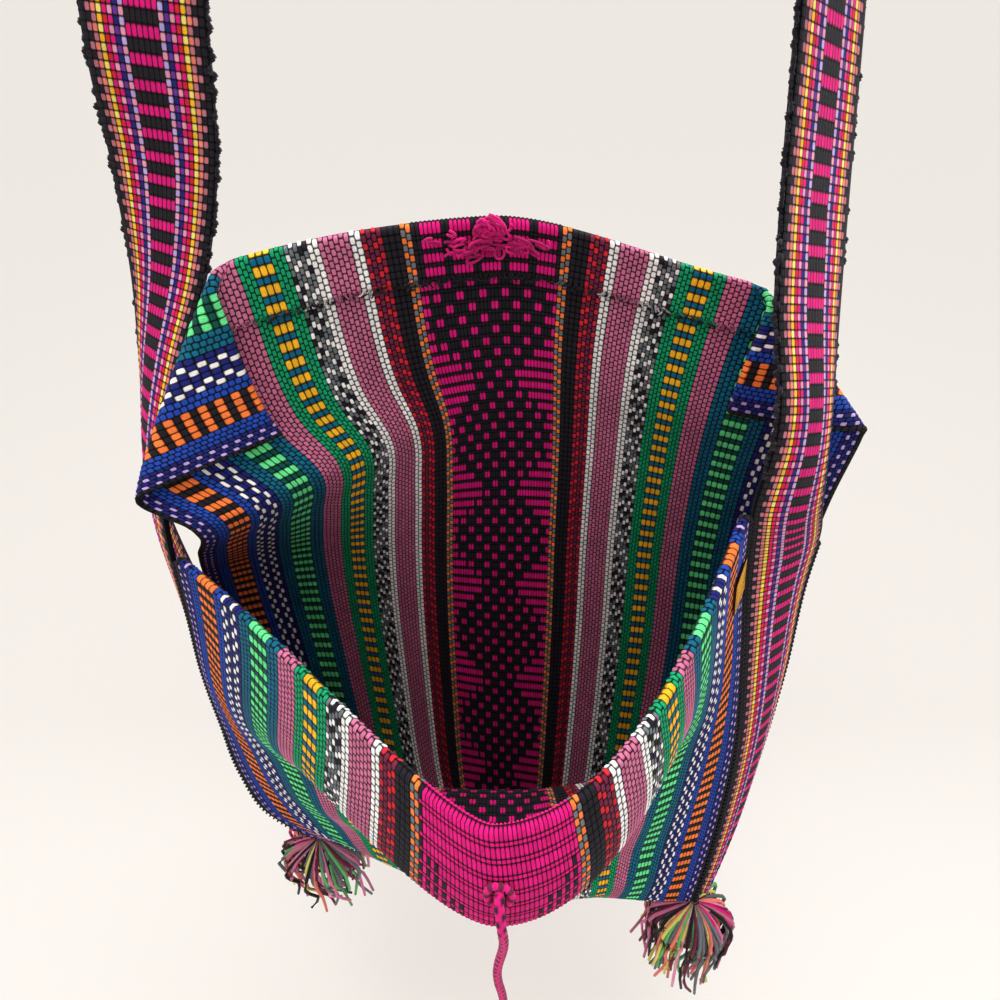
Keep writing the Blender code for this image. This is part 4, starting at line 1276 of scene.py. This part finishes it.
class BAG_PG_weave(bpy.types.PropertyGroup):
    """The relief of the woven grains."""
    valley: FloatProperty(name="Valley", description="Cut between grains, below the cloth's face",
                          default=0.00015, min=0, max=0.0004, unit="LENGTH", precision=5)
    crown: FloatProperty(name="Crown", description="Height of a grain over the cloth's face",
                         default=0.0002, min=0, max=0.0004, unit="LENGTH", precision=5)
    rows: IntProperty(name="Rows", description="Grains along the whole strip of cloth",
                      default=254, min=60, max=260)
    band_rows: IntProperty(name="Band rows", description="Grains along the whole band",
                           default=590, min=150, max=600)


class BAG_PG_cord(bpy.types.PropertyGroup):
    """The closing cord."""
    diameter: FloatProperty(name="Diameter", description="Thickness of the closing cord",
                            default=0.0035, min=0.002, max=0.006, unit="LENGTH")


class BAG_PG_stitching(bpy.types.PropertyGroup):
    """The oversewn side seams."""
    pitch: FloatProperty(name="Stitch length", description="Distance from stitch to stitch",
                         default=0.0032, min=0.002, max=0.008, unit="LENGTH")
    radius: FloatProperty(name="Thread radius", description="Half the sewing yarn's thickness",
                          default=0.0006, min=0.0003, max=0.001, unit="LENGTH")


class BAG_PG_tassel(bpy.types.PropertyGroup):
    """The corner tassels."""
    ends: IntProperty(name="Ends", description="Yarn ends in one tassel",
                      default=130, min=20, max=300)
    loop_arcs: IntProperty(name="Loop arcs", description="Loose arcs of yarn in the closing loop",
                           default=76, min=4, max=80)
    end_radius: FloatProperty(name="End radius", description="Half the thickness of a yarn end",
                              default=0.0012, min=0.0004, max=0.002, unit="LENGTH")


class BAG_PG_stage(bpy.types.PropertyGroup):
    """Floor, sky and lamps."""
    floor_colour: FloatVectorProperty(name="Floor", description="Colour of the floor",
                                      subtype="COLOR", size=3, min=0, max=1,
                                      default=linear("efece8"))
    sky_colour: FloatVectorProperty(name="Sky", description="Colour of the light all round",
                                    subtype="COLOR", size=3, min=0, max=1,
                                    default=linear("fbf8f5"))
    sky_strength: FloatProperty(name="Sky strength", description="Light that comes from all round",
                                default=1.0, min=0, max=3)
    floor_glow: FloatProperty(name="Floor glow", description="How much the floor looks paler",
                              default=0.02, min=0, max=1)
    lamp_power: FloatProperty(name="Lamp power", description="Power of the main soft lamp",
                              default=8.0, min=0, max=500, unit="POWER")


class BAG_PG_bag(bpy.types.PropertyGroup):
    """Everything about the bag that can be set."""
    yarns: PointerProperty(type=BAG_PG_yarns)
    weave: PointerProperty(type=BAG_PG_weave)
    cord: PointerProperty(type=BAG_PG_cord)
    stitching: PointerProperty(type=BAG_PG_stitching)
    tassel: PointerProperty(type=BAG_PG_tassel)
    stage: PointerProperty(type=BAG_PG_stage)


# ---- Operators, one for each piece or group of like pieces ----

class BAG_OT_camera(bpy.types.Operator):
    """Puts up the photograph's camera"""
    bl_idname = "bag.camera"
    bl_label = "Camera"

    def execute(self, context):
        set_camera()
        return {"FINISHED"}


class BAG_OT_cord(bpy.types.Operator):
    """Plaits the closing cord and ties its end knot"""
    bl_idname = "bag.cord"
    bl_label = "Closing cord"

    def execute(self, context):
        hang_cord()
        return {"FINISHED"}


class BAG_OT_cloth(bpy.types.Operator):
    """Weaves the striped cloth in three parts, left stripes, middle and right stripes"""
    bl_idname = "bag.cloth"
    bl_label = "Striped cloth"

    def execute(self, context):
        weave_cloth()
        return {"FINISHED"}


class BAG_OT_band(bpy.types.Operator):
    """Weaves the band that is strap and gusset in one"""
    bl_idname = "bag.band"
    bl_label = "Woven band"

    def execute(self, context):
        weave_band()
        edge_picots()
        return {"FINISHED"}


class BAG_OT_sewing(bpy.types.Operator):
    """Sews the side seams, the hems and the rings, and frays the cut edges"""
    bl_idname = "bag.sewing"
    bl_label = "Sewing"

    def execute(self, context):
        sew_seams()
        sew_hems()
        fray_hems()
        sew_rings()
        return {"FINISHED"}


class BAG_OT_tassels(bpy.types.Operator):
    """Ties the two corner tassels"""
    bl_idname = "bag.tassels"
    bl_label = "Tassels"

    def execute(self, context):
        tie_tassels()
        return {"FINISHED"}


class BAG_OT_label(bpy.types.Operator):
    """Sews the plain label on the front"""
    bl_idname = "bag.label"
    bl_label = "Plain label"

    def execute(self, context):
        sew_label()
        return {"FINISHED"}


class BAG_OT_stage(bpy.types.Operator):
    """Sets the floor, the sky and the lamps"""
    bl_idname = "bag.stage"
    bl_label = "Stage"

    def execute(self, context):
        set_stage()
        return {"FINISHED"}


class BAG_PT_panel(bpy.types.Panel):
    """Sizes, colours and steps of the woven bag"""
    bl_label = "Woven Bag"
    bl_idname = "BAG_PT_panel"
    bl_space_type = "VIEW_3D"
    bl_region_type = "UI"
    bl_category = "Woven Bag"

    def draw(self, context):
        bag = context.scene.woven_bag
        for group in ("weave", "cord", "stitching", "tassel", "stage", "yarns"):
            column = self.layout.column(align=True)
            column.label(text=group.capitalize())
            for name in getattr(bag, group).bl_rna.properties.keys():
                if name not in ("rna_type", "name"):
                    column.prop(getattr(bag, group), name)
        for step in STEPS:
            self.layout.operator(step.bl_idname)


STEPS = (BAG_OT_camera, BAG_OT_cord, BAG_OT_cloth, BAG_OT_band, BAG_OT_sewing, BAG_OT_tassels,
         BAG_OT_label, BAG_OT_stage)
CLASSES = (BAG_PG_yarns, BAG_PG_weave, BAG_PG_cord, BAG_PG_stitching, BAG_PG_tassel, BAG_PG_stage,
           BAG_PG_bag, *STEPS, BAG_PT_panel)


def register():
    for each in CLASSES:
        bpy.utils.register_class(each)
    bpy.types.Scene.woven_bag = PointerProperty(type=BAG_PG_bag)


def unregister():
    del bpy.types.Scene.woven_bag
    for each in reversed(CLASSES):
        bpy.utils.unregister_class(each)


def main():
    register()
    for step in STEPS:
        group, name = step.bl_idname.split(".")
        getattr(getattr(bpy.ops, group), name)()


if __name__ == "__main__":
    main()
